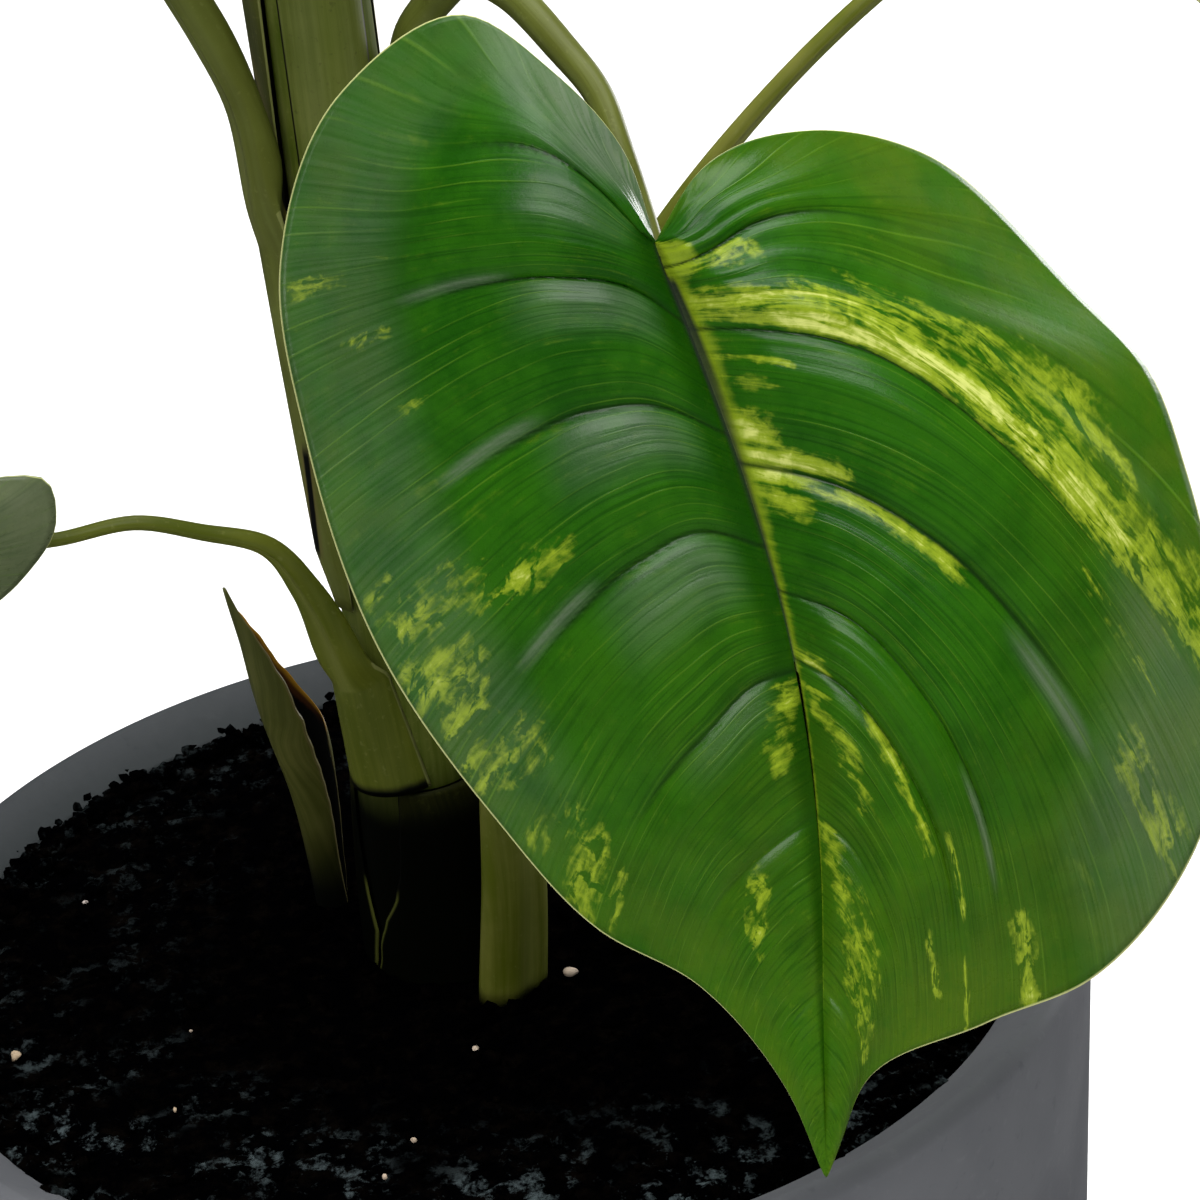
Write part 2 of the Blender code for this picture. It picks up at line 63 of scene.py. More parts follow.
# Outlines run from the notch where the petiole joins to the tip, in leaf lengths:
# across the leaf, along it towards the tip, and out of its plane towards its upper face.
FRONT_LEFT = (
    (0.0, 0.0, 0.0), (-0.015, -0.099, -0.02), (-0.073, -0.194, -0.045), (-0.144, -0.262, -0.07),
    (-0.288, -0.205, -0.109), (-0.383, -0.036, -0.144), (-0.39, 0.14, -0.146),
    (-0.356, 0.376, -0.119), (-0.27, 0.57, -0.085), (-0.184, 0.706, -0.06), (-0.092, 0.78, -0.04),
    (-0.024, 0.898, -0.015), (0.0, 1.0, 0.0),
)
FRONT_RIGHT = (
    (0.0, 0.0, 0.0), (0.061, -0.063, -0.02), (0.188, -0.078, -0.099), (0.31, -0.028, -0.159),
    (0.447, 0.151, -0.159), (0.502, 0.235, -0.149), (0.524, 0.353, -0.139), (0.52, 0.56, -0.105),
    (0.475, 0.72, -0.088), (0.319, 0.861, -0.06), (0.198, 0.879, -0.04), (0.06, 0.91, -0.012),
    (0.017, 0.974, -0.002), (0.0, 1.0, 0.0),
)
FRONT_MIDRIB = (
    (0.0, 0.0, 0.0), (0.02, 0.095, -0.01), (0.049, 0.26, -0.015), (0.066, 0.45, -0.015),
    (0.055, 0.668, -0.015), (0.031, 0.815, -0.01), (0.0, 1.0, 0.0),
)
PLAIN_HALF = (
    (0.0, 0.0, 0.0), (0.02, -0.09, -0.02), (0.08, -0.19, -0.045), (0.17, -0.245, -0.065),
    (0.29, -0.185, -0.09), (0.38, -0.03, -0.11), (0.4, 0.15, -0.115), (0.36, 0.38, -0.095),
    (0.27, 0.58, -0.07), (0.18, 0.72, -0.045), (0.09, 0.83, -0.025), (0.025, 0.93, -0.008),
    (0.0, 1.0, 0.0),
)
PLAIN_MIDRIB = ((0.0, 0.0, 0.0), (0.01, 0.3, 0.01), (0.01, 0.65, 0.008), (0.0, 1.0, 0.0))
# Each pair of main veins: where it leaves the midrib, and where it ends on the left and
# right edges, as fractions of their lengths.
FRONT_VEINS = (
    (0.0, 0.0, 0.0), (0.008, 0.27, 0.25), (0.095, 0.42, 0.545), (0.22, 0.55, 0.65),
    (0.35, 0.665, 0.765), (0.46, 0.78, 0.845), (0.62, 0.86, 0.895), (0.8, 0.93, 0.95),
    (1.0, 1.0, 1.0),
)
PLAIN_VEINS = (
    (0.0, 0.0, 0.0), (0.008, 0.26, 0.26), (0.095, 0.43, 0.43), (0.22, 0.56, 0.56),
    (0.35, 0.67, 0.67), (0.47, 0.77, 0.77), (0.62, 0.86, 0.86), (0.8, 0.93, 0.93), (1.0, 1.0, 1.0),
)
# How far each pair of main veins arches towards the notch, as a fraction of its length.
VEIN_ARCHES = (-0.2, -0.1, 0.2, 0.27, 0.27, 0.27, 0.27, 0.27, 0.27)
VEINS = len(FRONT_VEINS)

# How far some of the front leaf's main veins, counted from the notch, wander from their rows
# on the left (-1) and the right (1), at these fractions of their way to the edge.
WANDER_AT = (0.0, 0.12, 0.3, 0.5, 0.7, 1.0)
FRONT_WANDER = {
    -1: {
        1: (-0.4, -0.5, -0.52, -0.32, -0.08, 0.05), 2: (0, -0.32, -0.34, -0.2, -0.06, 0),
        3: (-0.04, -0.23, -0.24, -0.14, -0.03, 0), 4: (-0.12, -0.3, -0.21, -0.05, 0.08, 0.1),
        5: (0.04, 0, 0.1, 0.15, 0.2, 0.2),
    },
    1: {
        1: (0.3, 0.05, -0.2, -0.21, 0, 0.25), 2: (0, -0.12, -0.16, 0.22, 0.6, 0.75),
        3: (0.18, 0.17, 0.31, 0.51, 0.61, 0.66), 4: (0.28, 0.2, 0.43, 0.7, 0.88, 0.95),
        5: (-0.06, -0.08, 0.1, 0.3, 0.5, 0.6), 6: (0, 0, 0.1, 0.2, 0.3, 0.3),
    },
}
STRAIGHT = (0,) * len(WANDER_AT)

# Pale streaks on the right half (1) and the left (-1): where each starts and ends (main vein
# counted from the notch, fraction of the way to the edge), its half breadth in vein spacings
# and its strength.
FRONT_STREAKS = {
    1: (
        (1.62, 0, 1.8, 0.22, 0.22, 0.82), (1.82, 0.18, 1.82, 0.46, 0.17, 1.16),
        (1.6, 0.15, 1.6, 0.46, 0.14, 0.92), (1.8, 0.42, 1.74, 0.72, 0.17, 1.0),
        (1.74, 0.66, 1.66, 1.0, 0.2, 0.8), (1.48, 0.44, 1.44, 0.8, 0.13, 0.6),
        (1.1, 0.04, 1.16, 0.26, 0.1, 0.72), (0.6, 0, 0.75, 0.03, 0.22, 0.8),
        (2.92, 0, 2.9, 0.15, 0.07, 1.0), (2.74, 0, 2.72, 0.035, 0.12, 1.2),
        (2.42, 0.04, 2.44, 0.09, 0.07, 0.62), (2.22, 0.02, 2.24, 0.13, 0.03, 0.66),
        (3.06, 0.02, 3.06, 0.34, 0.07, 0.9), (3.06, 0.16, 3.07, 0.33, 0.05, 1.15),
        (3.16, 0, 3.24, 0.07, 0.1, 0.62), (4.92, 0, 4.94, 0.05, 0.12, 0.8),
        (2.88, 0.78, 2.8, 1.0, 0.14, 0.62), (3.9, 0.8, 3.86, 1.0, 0.07, 0.8),
        (4.8, 0.5, 4.8, 0.68, 0.06, 0.75), (5.5, 0.64, 5.4, 0.84, 0.07, 0.85),
        (4.9, 0.82, 4.86, 1.0, 0.07, 0.8), (6.5, 0.25, 6.9, 0.7, 0.3, 0.58),
        (2.4, 0.62, 2.4, 0.8, 0.1, 0.35), (5.2, 0.02, 5.6, 0.18, 0.14, 0.5),
        (5.05, 0.2, 5.2, 0.45, 0.1, 0.62), (6.1, 0.05, 6.5, 0.2, 0.18, 0.55),
    ),
    -1: (
        (3.6, 0.96, 3.76, 0.8, 0.14, 0.66), (3.36, 0.92, 3.42, 0.7, 0.12, 0.6),
        (3.54, 0.72, 3.66, 0.46, 0.1, 0.62), (4.06, 0.97, 4.22, 0.76, 0.14, 0.52),
        (4.8, 0.8, 4.92, 1.0, 0.18, 0.56), (1.7, 0.97, 1.76, 0.84, 0.07, 0.5),
        (2.06, 0.85, 2.08, 0.75, 0.05, 0.48), (2.5, 0.75, 2.5, 0.69, 0.05, 0.5),
        (4.5, 0.94, 4.62, 0.8, 0.1, 0.45), (6.15, 0.35, 6.4, 0.52, 0.14, 0.7),
        (5.15, 0.03, 5.45, 0.12, 0.16, 0.58), (3.1, 0.9, 3.2, 0.97, 0.08, 0.5),
        (3.86, 0.94, 3.92, 0.84, 0.1, 0.55), (5.08, 0.8, 5.16, 0.95, 0.1, 0.5),
    ),
}
PLAIN_STREAKS = {
    1: (
        (2.6, 0.1, 2.5, 0.55, 0.14, 0.8), (2.5, 0.55, 2.35, 0.95, 0.2, 0.7),
        (4.4, 0.15, 4.45, 0.6, 0.1, 0.65), (0.8, 0.4, 0.7, 0.9, 0.12, 0.5),
    ),
    -1: (
        (1.6, 0.2, 1.45, 0.7, 0.14, 0.65), (3.55, 0.45, 3.5, 0.95, 0.18, 0.75),
        (5.3, 0.2, 5.6, 0.8, 0.12, 0.6), (4.6, 0.1, 4.6, 0.35, 0.08, 0.7),
    ),
}
SMALL_STREAKS = {
    1: ((3.4, 0.3, 3.45, 0.8, 0.1, 0.55),),
    -1: ((2.6, 0.4, 2.6, 0.9, 0.1, 0.55),),
}


def mirrored(outline, spread):
    """The other half of a leaf, with its breadth multiplied by spread."""
    return tuple((-across * spread, along, rise) for across, along, rise in outline)


def plain(left_spread, right_spread):
    """The outline of a leaf whose halves are spread in breadth."""
    left = mirrored(PLAIN_HALF, left_spread)
    right = mirrored(PLAIN_HALF, -right_spread)
    return (left, right, PLAIN_MIDRIB, PLAIN_VEINS)


FRONT = (FRONT_LEFT, FRONT_RIGHT, FRONT_MIDRIB, FRONT_VEINS)

# Each leaf: its notch, its tip, the way its upper side faces, its outline, its droop, how far
# under it the petiole ends, and its pale streaks.
LEAVES = {
    "front": (
        (0.054, -0.1, 0.4874), (0.0663, -0.17, 0.299), (0.02, -0.94, 0.35),
        FRONT, 0.0, 0.003, FRONT_STREAKS,
    ),
    "left": (
        (-0.1184, -0.0487, 0.4198), (-0.2147, -0.005, 0.3484), (0.44, -1.0, 0.37),
        plain(0.98, 0.68), 0.08, 0.0018, SMALL_STREAKS,
    ),
    "upper_left": (
        (-0.127, 0.008, 0.576), (-0.225, -0.025, 0.45), (-0.7, -0.35, 0.6),
        plain(1.0, 0.95), 0.12, 0.0028, PLAIN_STREAKS,
    ),
    "right": (
        (0.2145, 0.0148, 0.5225), (0.33, -0.02, 0.425), (0.5, -0.4, 0.75),
        plain(0.95, 1.0), 0.12, 0.0025, PLAIN_STREAKS,
    ),
    "top": (
        (0.0255, -0.019, 0.823), (0.045, -0.125, 0.7), (0.1, -0.6, 0.8),
        plain(1.0, 1.0), 0.12, 0.0014, PLAIN_STREAKS,
    ),
    "back_left": (
        (-0.1145, 0.165, 0.715), (-0.175, 0.25, 0.595), (-0.5, 0.6, 0.7),
        plain(1.0, 0.94), 0.12, 0.0026, PLAIN_STREAKS,
    ),
    "back_right": (
        (0.117, 0.15, 0.666), (0.195, 0.215, 0.55), (0.55, 0.55, 0.7),
        plain(0.96, 1.0), 0.12, 0.0026, PLAIN_STREAKS,
    ),
    "high": (
        (-0.0585, -0.1115, 0.7065), (-0.105, -0.205, 0.63), (-0.3, -0.6, 0.8),
        plain(0.92, 0.92), 0.1, 0.0026, SMALL_STREAKS,
    ),
}

# ---- curves


def smooth(knots, values, at):
    """A smooth curve through values at the increasing knots, read at each number in at."""
    knots = np.asarray(knots, float)
    values = np.asarray(values, float).reshape(len(knots), -1)
    at = np.clip(np.atleast_1d(at), knots[0], knots[-1])
    slopes = np.gradient(values, knots, axis=0)
    index = np.clip(np.searchsorted(knots, at, side="right") - 1, 0, len(knots) - 2)
    span = (knots[index + 1] - knots[index])[:, None]
    f = (at - knots[index])[:, None] / span
    low = values[index]
    high = values[index + 1]
    rise = slopes[index] * span * f * (1 - f) ** 2 - slopes[index + 1] * span * f**2 * (1 - f)
    return low + (high - low) * f**2 * (3 - 2 * f) + rise


def lengths_along(points):
    """The fraction of a path's length at each of its points."""
    steps = np.linalg.norm(np.diff(np.asarray(points, float), axis=0), axis=1)
    run = np.concatenate([[0.0], np.cumsum(steps)])
    return run / run[-1]


def unit(vector):
    vector = np.asarray(vector, float)
    return vector / np.linalg.norm(vector)


def ramp(value, low, high):
    """0 below low, 1 above high, and a smooth rise between them."""
    f = np.clip((value - low) / (high - low), 0, 1)
    return f * f * (3 - 2 * f)


def bell(value, centre, breadth):
    """1 at the centre, falling smoothly towards 0 on both sides of it."""
    return np.exp(-(((value - centre) / breadth) ** 2))


def around_axis(radius, angle):
    """The x and y of points at a radius and an angle in radians."""
    return radius * np.cos(angle), radius * np.sin(angle)


def leaf_frame(notch, tip, face):
    """A leaf's directions across, along and out of its upper side, and its length."""
    span = np.asarray(tip, float) - notch
    along = unit(span)
    normal = unit(np.asarray(face, float) - np.dot(face, along) * along)
    return np.cross(normal, along), along, normal, np.linalg.norm(span)


def joint_of(name):
    """Where a petiole ends, just under its leaf and a little past the notch."""
    notch, tip, face, _, _, under, _ = LEAVES[name]
    _, along, normal, _ = leaf_frame(notch, tip, face)
    return np.asarray(notch) + JOINT_ALONG * along - under * normal


def compass(azimuth):
    """The level direction at an azimuth in degrees from +X."""
    return np.array([*around_axis(1.0, math.radians(azimuth)), 0.0])


# ---- shader values and finishes


class Wire:
    """One value in a shader. Arithmetic on it adds the Math nodes."""

    def __init__(self, finish, socket):
        self.finish = finish
        self.socket = socket

    def __add__(self, other):
        return self.finish.math("ADD", self, other)

    __radd__ = __add__

    def __sub__(self, other):
        return self.finish.math("SUBTRACT", self, other)

    def __rsub__(self, other):
        return self.finish.math("SUBTRACT", other, self)

    def __mul__(self, other):
        return self.finish.math("MULTIPLY", self, other)

    __rmul__ = __mul__

    def __abs__(self):
        return self.finish.math("ABSOLUTE", self)


class Finish:
    """A node tree being written, for one material or for the studio's surroundings."""

    def __init__(self, owner):
        owner.use_nodes = True
        self.owner = owner
        self.tree = owner.node_tree
        self.tree.nodes.clear()

    def node(self, kind, settings=(), inputs=(), output=0):
        """Adds a node: its settings first, then the values or links of its inputs."""
        made = self.tree.nodes.new(kind)
        for key, value in dict(settings).items():
            setattr(made, key, value)
        for key, value in dict(inputs).items():
            if isinstance(value, Wire):
                self.tree.links.new(value.socket, made.inputs[key])
            else:
                made.inputs[key].default_value = value
        return Wire(self, made.outputs[output]) if made.outputs else None

    def math(self, operation, *values):
        return self.node("ShaderNodeMath", {"operation": operation}, enumerate(values))

    def attribute(self, name):
        return self.node("ShaderNodeAttribute", {"attribute_name": name}, output=2)

    def part(self, axis):
        """Where a point is along X (0), Y (1) or Z (2), in metres."""
        return self.node("ShaderNodeSeparateXYZ", inputs={0: self.place}, output=axis)

    def radius(self):
        """How far a point is from the pot's axis."""
        x = self.part(0)
        y = self.part(1)
        return self.math("SQRT", x * x + y * y)

    def vector(self, x, y, z):
        return self.node("ShaderNodeCombineXYZ", inputs={0: x, 1: y, 2: z})

    def noise(self, scale, detail=2.0, rough=0.5, warp=0.0, at=None):
        """Soft noise at a point's place, or at a vector of its own."""
        inputs = {
            "Vector": at or self.place, "Scale": scale, "Detail": detail, "Roughness": rough,
            "Distortion": warp,
        }
        return self.node("ShaderNodeTexNoise", inputs=inputs)

    def cells(self, scale):
        """The distance to the nearest of many scattered points."""
        inputs = {"Vector": self.place, "Scale": scale}
        return self.node("ShaderNodeTexVoronoi", inputs=inputs)

    def rise(self, value, low, high):
        """0 below low, 1 above high, and a smooth rise between them."""
        inputs = {"Value": value, "From Min": low, "From Max": high}
        return self.node("ShaderNodeMapRange", {"interpolation_type": "SMOOTHSTEP"}, inputs)

    def blend(self, share, first, second):
        """A colour between the first, where share is 0, and the second, where it is 1."""
        inputs = {0: share, 6: as_colour(first), 7: as_colour(second)}
        return self.node("ShaderNodeMix", {"data_type": "RGBA"}, inputs, 2)

    def paint(self, share, colour):
        """Covers a share of the surface's colour so far with another colour."""
        self.colour = self.blend(share, self.colour, colour)

    def bumped(self, millimetres):
        """A normal that follows a height in millimetres."""
        return self.node("ShaderNodeBump", inputs={"Height": millimetres, "Distance": 0.001})

    def done(self, **surface):
        """Ends the material with its colour and its surface, whose words are the shader's."""
        inputs = {key.replace("_", " "): value for key, value in surface.items()}
        inputs["Base Color"] = as_colour(self.colour)
        shader = self.node("ShaderNodeBsdfPrincipled", inputs=inputs)
        self.node("ShaderNodeOutputMaterial", inputs={0: shader})
        return self.owner


def as_colour(value):
    return value if isinstance(value, Wire) else (*value, 1.0)


def new_finish(name, colour):
    """A new material. Its colour so far is the one given, and place is a point in metres."""
    finish = Finish(bpy.data.materials.new(name))
    finish.colour = colour
    finish.place = finish.node("ShaderNodeTexCoord", output=3)
    return finish


# The numbers stored at each point of a leaf and of a stem, which their finishes read.
LEAF_LAYERS = ("vein", "reach", "side", "streak", "fold", "rib", "channel", "painted_sheen", "under")
STEM_LAYERS = ("along", "around", "margin", "groove", "inside")

DEEP_GREEN = (0.007, 0.058, 0.0006)
MID_GREEN = (0.015, 0.086, 0.0012)
WARM_GREEN = (0.054, 0.106, 0.003)
SHADE_GREEN = (0.002, 0.028, 0.0003)
# A paler, greyer copy of the leaf green: painted sheen for the left leaf's upper side.
LEAF_SHEEN_GREY = (0.072, 0.098, 0.044)
LEAF_SHEEN_PALE = (0.105, 0.128, 0.064)
VEIN_GREEN = (0.09, 0.19, 0.009)
LIME = (0.205, 0.28, 0.012)
CREAM = (0.5, 0.54, 0.14)
RIB_GREEN = (0.19, 0.27, 0.01)
MARGIN_CREAM = (0.46, 0.48, 0.2)
FOLD_SHADE = (0.004, 0.018, 0.002)
CHANNEL_SHADE_GREY = (0.018, 0.027, 0.016)
SHEEN_COLOUR = (0.156, 0.172, 0.136)
UNDERSIDE = (0.085, 0.15, 0.05)
VEIN_LINES = 9.0


def leaf_finish(name, deep, mid, warm):
    """Glossy green with fine pale veins, cream and lime streaks, a cream edge line, painted shade
    and a painted sheen.
    """
    f = new_finish(name, deep)
    vein, reach, side, streak, fold, rib, channel, painted_sheen, under = map(f.attribute, LEAF_LAYERS)
    patchy = f.rise(f.noise(70.0, 3.0), 0.3, 0.7)
    fleck = f.noise(420.0, 4.0, 0.65)
    mottle = f.noise(28.0, 3.0) * 0.5 + f.noise(85.0, 4.0, 0.6) * 0.5
    f.paint(f.rise(mottle, 0.4, 0.6), mid)
    warmth = f.rise(vein, 3.0, 7.5) * 0.6 + f.rise(reach * side, 0.25, 0.95) * 0.6
    f.paint(warmth * (0.45 + patchy * 0.55), warm)
    f.paint(f.rise(reach, 0.6, 1.0) * patchy * 0.4, warm)
    f.paint(f.rise(fleck, 0.5, 0.74) * 0.35, mid)

    strands = f.noise(1.0, at=f.vector(vein * 46.0, reach * 2.2, side * 7.0))
    f.paint(f.rise(strands, 0.52, 0.76) * 0.25, mid)
    # Painted shade in the troughs between the fine strands.
    dark = (1 - f.rise(strands, 0.3, 0.52)) * (0.45 - f.rise(reach, 0.5, 0.9) * 0.25)
    f.paint(dark, SHADE_GREEN)
    # Painted shade beside the midrib on the left half.
    midrib_shade = (1 - f.rise(reach, 0.03, 0.12)) * (0.5 - side * 0.5)
    f.paint(midrib_shade * 0.6, SHADE_GREEN)
    sway = f.noise(1.0, 1.0, at=f.vector(vein * 1.3, reach * 1.6, side * 7.0))
    comb = f.math("FRACT", vein * VEIN_LINES + sway * 1.6)
    line = 1 - f.rise(abs(comb - 0.5), 0.01, 0.065)
    fade = f.noise(1.0, 3.0, at=f.vector(vein * 3.5, reach * 2.4, side * 7.0))
    fine = line * f.rise(fade, 0.4, 0.66) * f.rise(reach, 0.02, 0.12)
    f.paint(fine * 0.4, VEIN_GREEN)

    torn = f.vector(vein * 12.0, reach * 6.0, side * 5.0)
    feather = f.noise(1.0, 5.0, 0.62, 0.7, torn)
    spots = f.noise(260.0, 4.0, 0.62, 0.5)
    lace = 1 - f.rise(abs(f.noise(95.0, 3.0, 0.6, 0.8) - 0.5), 0.0, 0.09)
    loose = (feather * 2.1 + spots * 1.0 + lace * 0.16 - 1.62) * f.rise(streak, 0.02, 0.25)
    holes = f.noise(1.0, 4.0, 0.6, 0.8, f.vector(vein * 9.0, reach * 13.0, side * 3.0))
    level = streak + loose - f.rise(holes, 0.5, 0.66) * (0.35 + f.rise(reach, 0.25, 0.6) * 0.45)
    f.paint(f.rise(level, 0.2, 1.0), LIME)
    f.paint(f.rise(level, 0.88, 1.45), CREAM)

    soft = rib * 0.9 + feather * 0.9 + spots * 0.6 + strands * 0.3 - 0.95
    f.paint(f.rise(soft, 0.0, 0.95) * 0.88, RIB_GREEN)
    # Painted shade along the folds of the main veins.
    f.paint(f.rise(fold, 0.1, 1.0) * 0.85, FOLD_SHADE)
    # Painted shade with a grey sheen in the midrib's channel.
    f.paint(channel, CHANNEL_SHADE_GREY)
    # Painted sheen: a pale grey standing in for highlights and reflections on crests, the left lobe
    # and the edges.
    f.paint(painted_sheen * (0.5 + f.rise(strands, 0.34, 0.66) * 0.5), SHEEN_COLOUR)
    f.paint(f.rise(reach, 0.9945, 0.9985), MARGIN_CREAM)
    f.paint(under * 0.92, f.blend(fine * 0.5, UNDERSIDE, VEIN_GREEN))

    ripples = f.math("SINE", vein * (2 * math.pi * VEIN_LINES) + sway * 10.0)
    bump = ripples * 0.022 + strands * 0.05 + fleck * 0.05 + f.noise(1500.0) * 0.02 + fine * 0.04
    rough = 0.24 + fleck * 0.08 + under * 0.25
    return f.done(Roughness=rough, Normal=f.bumped(bump), Specular_IOR_Level=0.18)


OLIVE = (0.07, 0.08, 0.011)
PALE_OLIVE = (0.096, 0.112, 0.02)
STEM_EDGE = (0.16, 0.17, 0.05)
STEM_SHADE = (0.001, 0.0013, 0.0006)
RUST = (0.34, 0.17, 0.012)
RUST_DARK = (0.05, 0.016, 0.003)
GAP_RIM = (0.09, 0.08, 0.016)
SHADED_FOOT = (0.262, 0.3)


def stem_finish(name, body=OLIVE, light=PALE_OLIVE, shade_below=SHADED_FOOT,
                edge_colour=STEM_EDGE, rust_above=None, edge_below=None, gaps=(), gloss=0.14,
                edge_from=0.93):
    """Olive with long fibres, pale sheath margins and a foot painted with shade below the heights
    given. The pale margin starts at edge_from of the way to the edge and can end at
    edge_below, and a torn edge is rusty above rust_above. Each gap, a slit painted with shade
    inside a brownish rim, has its x at the bottom, its lean, its lowest and highest points and
    its half breadth. Inner sides are painted with shade too."""
    f = new_finish(name, body)
    along, around, margin, groove, shade = map(f.attribute, STEM_LAYERS)
    height = f.part(2)
    fibres = f.noise(1.0, 4.0, 0.6, at=f.vector(around * 900.0, along * 22.0, 0.0))
    cloud = f.noise(55.0, 3.0)
    f.paint(f.rise(cloud * 0.5 + fibres * 0.5, 0.36, 0.66), light)
    dots = f.noise(700.0)
    f.paint(f.rise(dots, 0.6, 0.78) * 0.3, edge_colour)
    f.paint(groove * 0.35, edge_colour)
    # Painted shade: the foot goes near black below the given heights, towards the soil and under
    # the sheaths above.
    f.paint(1 - f.rise(height + cloud * 0.004 - 0.002, *shade_below), STEM_SHADE)
    edge = f.rise(margin, edge_from, edge_from + 0.02)
    if edge_below is not None:
        edge = edge * (1 - f.rise(height, edge_below, edge_below + 0.004))
    f.paint(edge, edge_colour)
    # Each gap: a brownish rim round a slit painted with shade.
    for x, lean, bottom, top, breadth in gaps:
        off = abs(f.part(0) - x - (height - bottom) * lean + (cloud - 0.5) * 0.001)
        tall = f.rise(height, bottom, bottom + 0.005) * (1 - f.rise(height, top - 0.005, top))
        f.paint((1 - f.rise(off, breadth, 2.6 * breadth)) * tall, GAP_RIM)
        shade = f.math("MAXIMUM", shade, (1 - f.rise(off, 0.6 * breadth, 1.2 * breadth)) * tall)
    # Painted shade on the inner sides and in the gaps' slits.
    f.paint(shade, STEM_SHADE)
    if rust_above is not None:
        torn = f.rise(height + cloud * 0.01, rust_above, rust_above + 0.006)
        torn = torn * f.rise(0.0 - around, 0.0, 0.002) * f.rise(margin + dots * 0.1, 0.72, 0.86)
        f.paint(torn, f.blend(f.rise(margin, 0.84, 0.98), RUST_DARK, RUST))
    rough = 0.34 + fibres * 0.14 + shade * 0.6
    bump = f.bumped(fibres * 0.1 + dots * 0.015)
    return f.done(Roughness=rough, Normal=bump, Specular_IOR_Level=gloss)


SLATE = (0.096, 0.098, 0.107)
SLATE_PALE = (0.135, 0.138, 0.146)
SLATE_DARK = (0.05, 0.054, 0.062)
SHADED_SLATE = (0.016, 0.02, 0.021)


def pot_finish():
    """Matte slate-coloured ceramic, faintly mottled, with fine turning lines and painted shade on
    the back of the lip.
    """
    f = new_finish("slate_ceramic", SLATE_DARK)
    cloud = f.noise(9.0, 4.0, 0.55)
    speck = f.noise(260.0, 3.0, 0.6)
    height = f.part(2)
    f.paint(f.rise(cloud, 0.34, 0.68), SLATE_PALE)
    f.paint(0.62, SLATE)
    f.paint(f.rise(speck, 0.58, 0.76) * 0.3, SLATE_PALE)
    f.paint((1 - f.rise(speck, 0.24, 0.4)) * 0.35, SLATE_DARK)
    # Painted shade: the back of the lip goes near black towards the soil.
    lip_shade = f.rise(f.part(1), -0.02, 0.07) * f.rise(height, 0.255, 0.262)
    lip_shade = lip_shade * (0.92 - f.rise(f.radius() + speck * 0.004, 0.136, 0.15) * 0.22)
    f.paint(lip_shade, SHADED_SLATE)
    turning = f.noise(1.0, 3.0, at=f.vector(0.0, 0.0, height * 620.0))
    bump = f.bumped(speck * 0.05 + turning * 0.03)
    return f.done(Roughness=0.52 + cloud * 0.12, Normal=bump, Specular_IOR_Level=0.1)


EARTH = (0.0002, 0.0002, 0.0003)
EARTH_BROWN = (0.0016, 0.0011, 0.0008)
GLINT_GREY = (0.056, 0.072, 0.076)


def soil_finish():
    """Near-black peat with brown fibres and small painted bluish-grey glints."""
    f = new_finish("dark_soil", EARTH)
    clod = f.noise(160.0, 5.0, 0.65)
    f.paint(f.rise(clod, 0.46, 0.74), EARTH_BROWN)
    # Painted glints: bluish-grey highlights in the colour, more towards the front, with no gloss of
    # their own.
    glint = f.rise(f.noise(130.0, 5.0, 0.72), 0.53, 0.66)
    where = f.rise(f.radius() - f.part(0) * 0.15, 0.07, 0.125) * f.rise(f.noise(34.0), 0.38, 0.56)
    front = 0.2 + 0.8 * f.rise(0.0 - f.part(1), 0.0, 0.08)
    f.paint(glint * where * front, GLINT_GREY)
    bump = f.bumped(clod * 1.3 + (1 - f.cells(420.0)) * 0.6)
    return f.done(Roughness=1.0, Normal=bump, Specular_IOR_Level=0.0)


GRAIN_PALE = (0.56, 0.48, 0.44)
GRAIN_TAN = (0.4, 0.3, 0.2)


def grain_finish():
    """Dusty perlite."""
    f = new_finish("perlite", GRAIN_PALE)
    dust = f.noise(500.0, 4.0, 0.6)
    f.paint(f.rise(f.noise(14.0), 0.4, 0.6), GRAIN_TAN)
    f.paint((1 - f.rise(dust, 0.34, 0.5)) * 0.7, EARTH_BROWN)
    return f.done(Roughness=0.9, Normal=f.bumped(dust * 0.3), Specular_IOR_Level=0.2)


# ---- making pieces


def added(name, data):
    """A new object in the scene."""
    made = bpy.data.objects.new(name, data)
    bpy.context.scene.collection.objects.link(made)
    return made


def grid_faces(rows, columns):
    """Quads between neighbouring points of a grid stored row by row."""
    base = np.arange(rows - 1)[:, None] * columns + np.arange(columns - 1)
    quads = np.stack([base, base + 1, base + columns + 1, base + columns], axis=-1)
    return quads.reshape(-1, 4)


def ring_faces(rings, sides):
    """Quads between closed rings of points stored ring by ring, and fans from the first and
    the last ring to the two points stored after them."""
    k = np.arange(sides)
    after = (k + 1) % sides
    base = np.arange(rings - 1)[:, None] * sides
    quads = np.stack([base + k, base + after, base + sides + after, base + sides + k], axis=-1)
    last = (rings - 1) * sides
    pole = rings * sides
    first_fan = [(b, a, pole) for a, b in zip(k, after)]
    last_fan = [(last + a, last + b, pole + 1) for a, b in zip(k, after)]
    return [*quads.reshape(-1, 4), *first_fan, *last_fan]


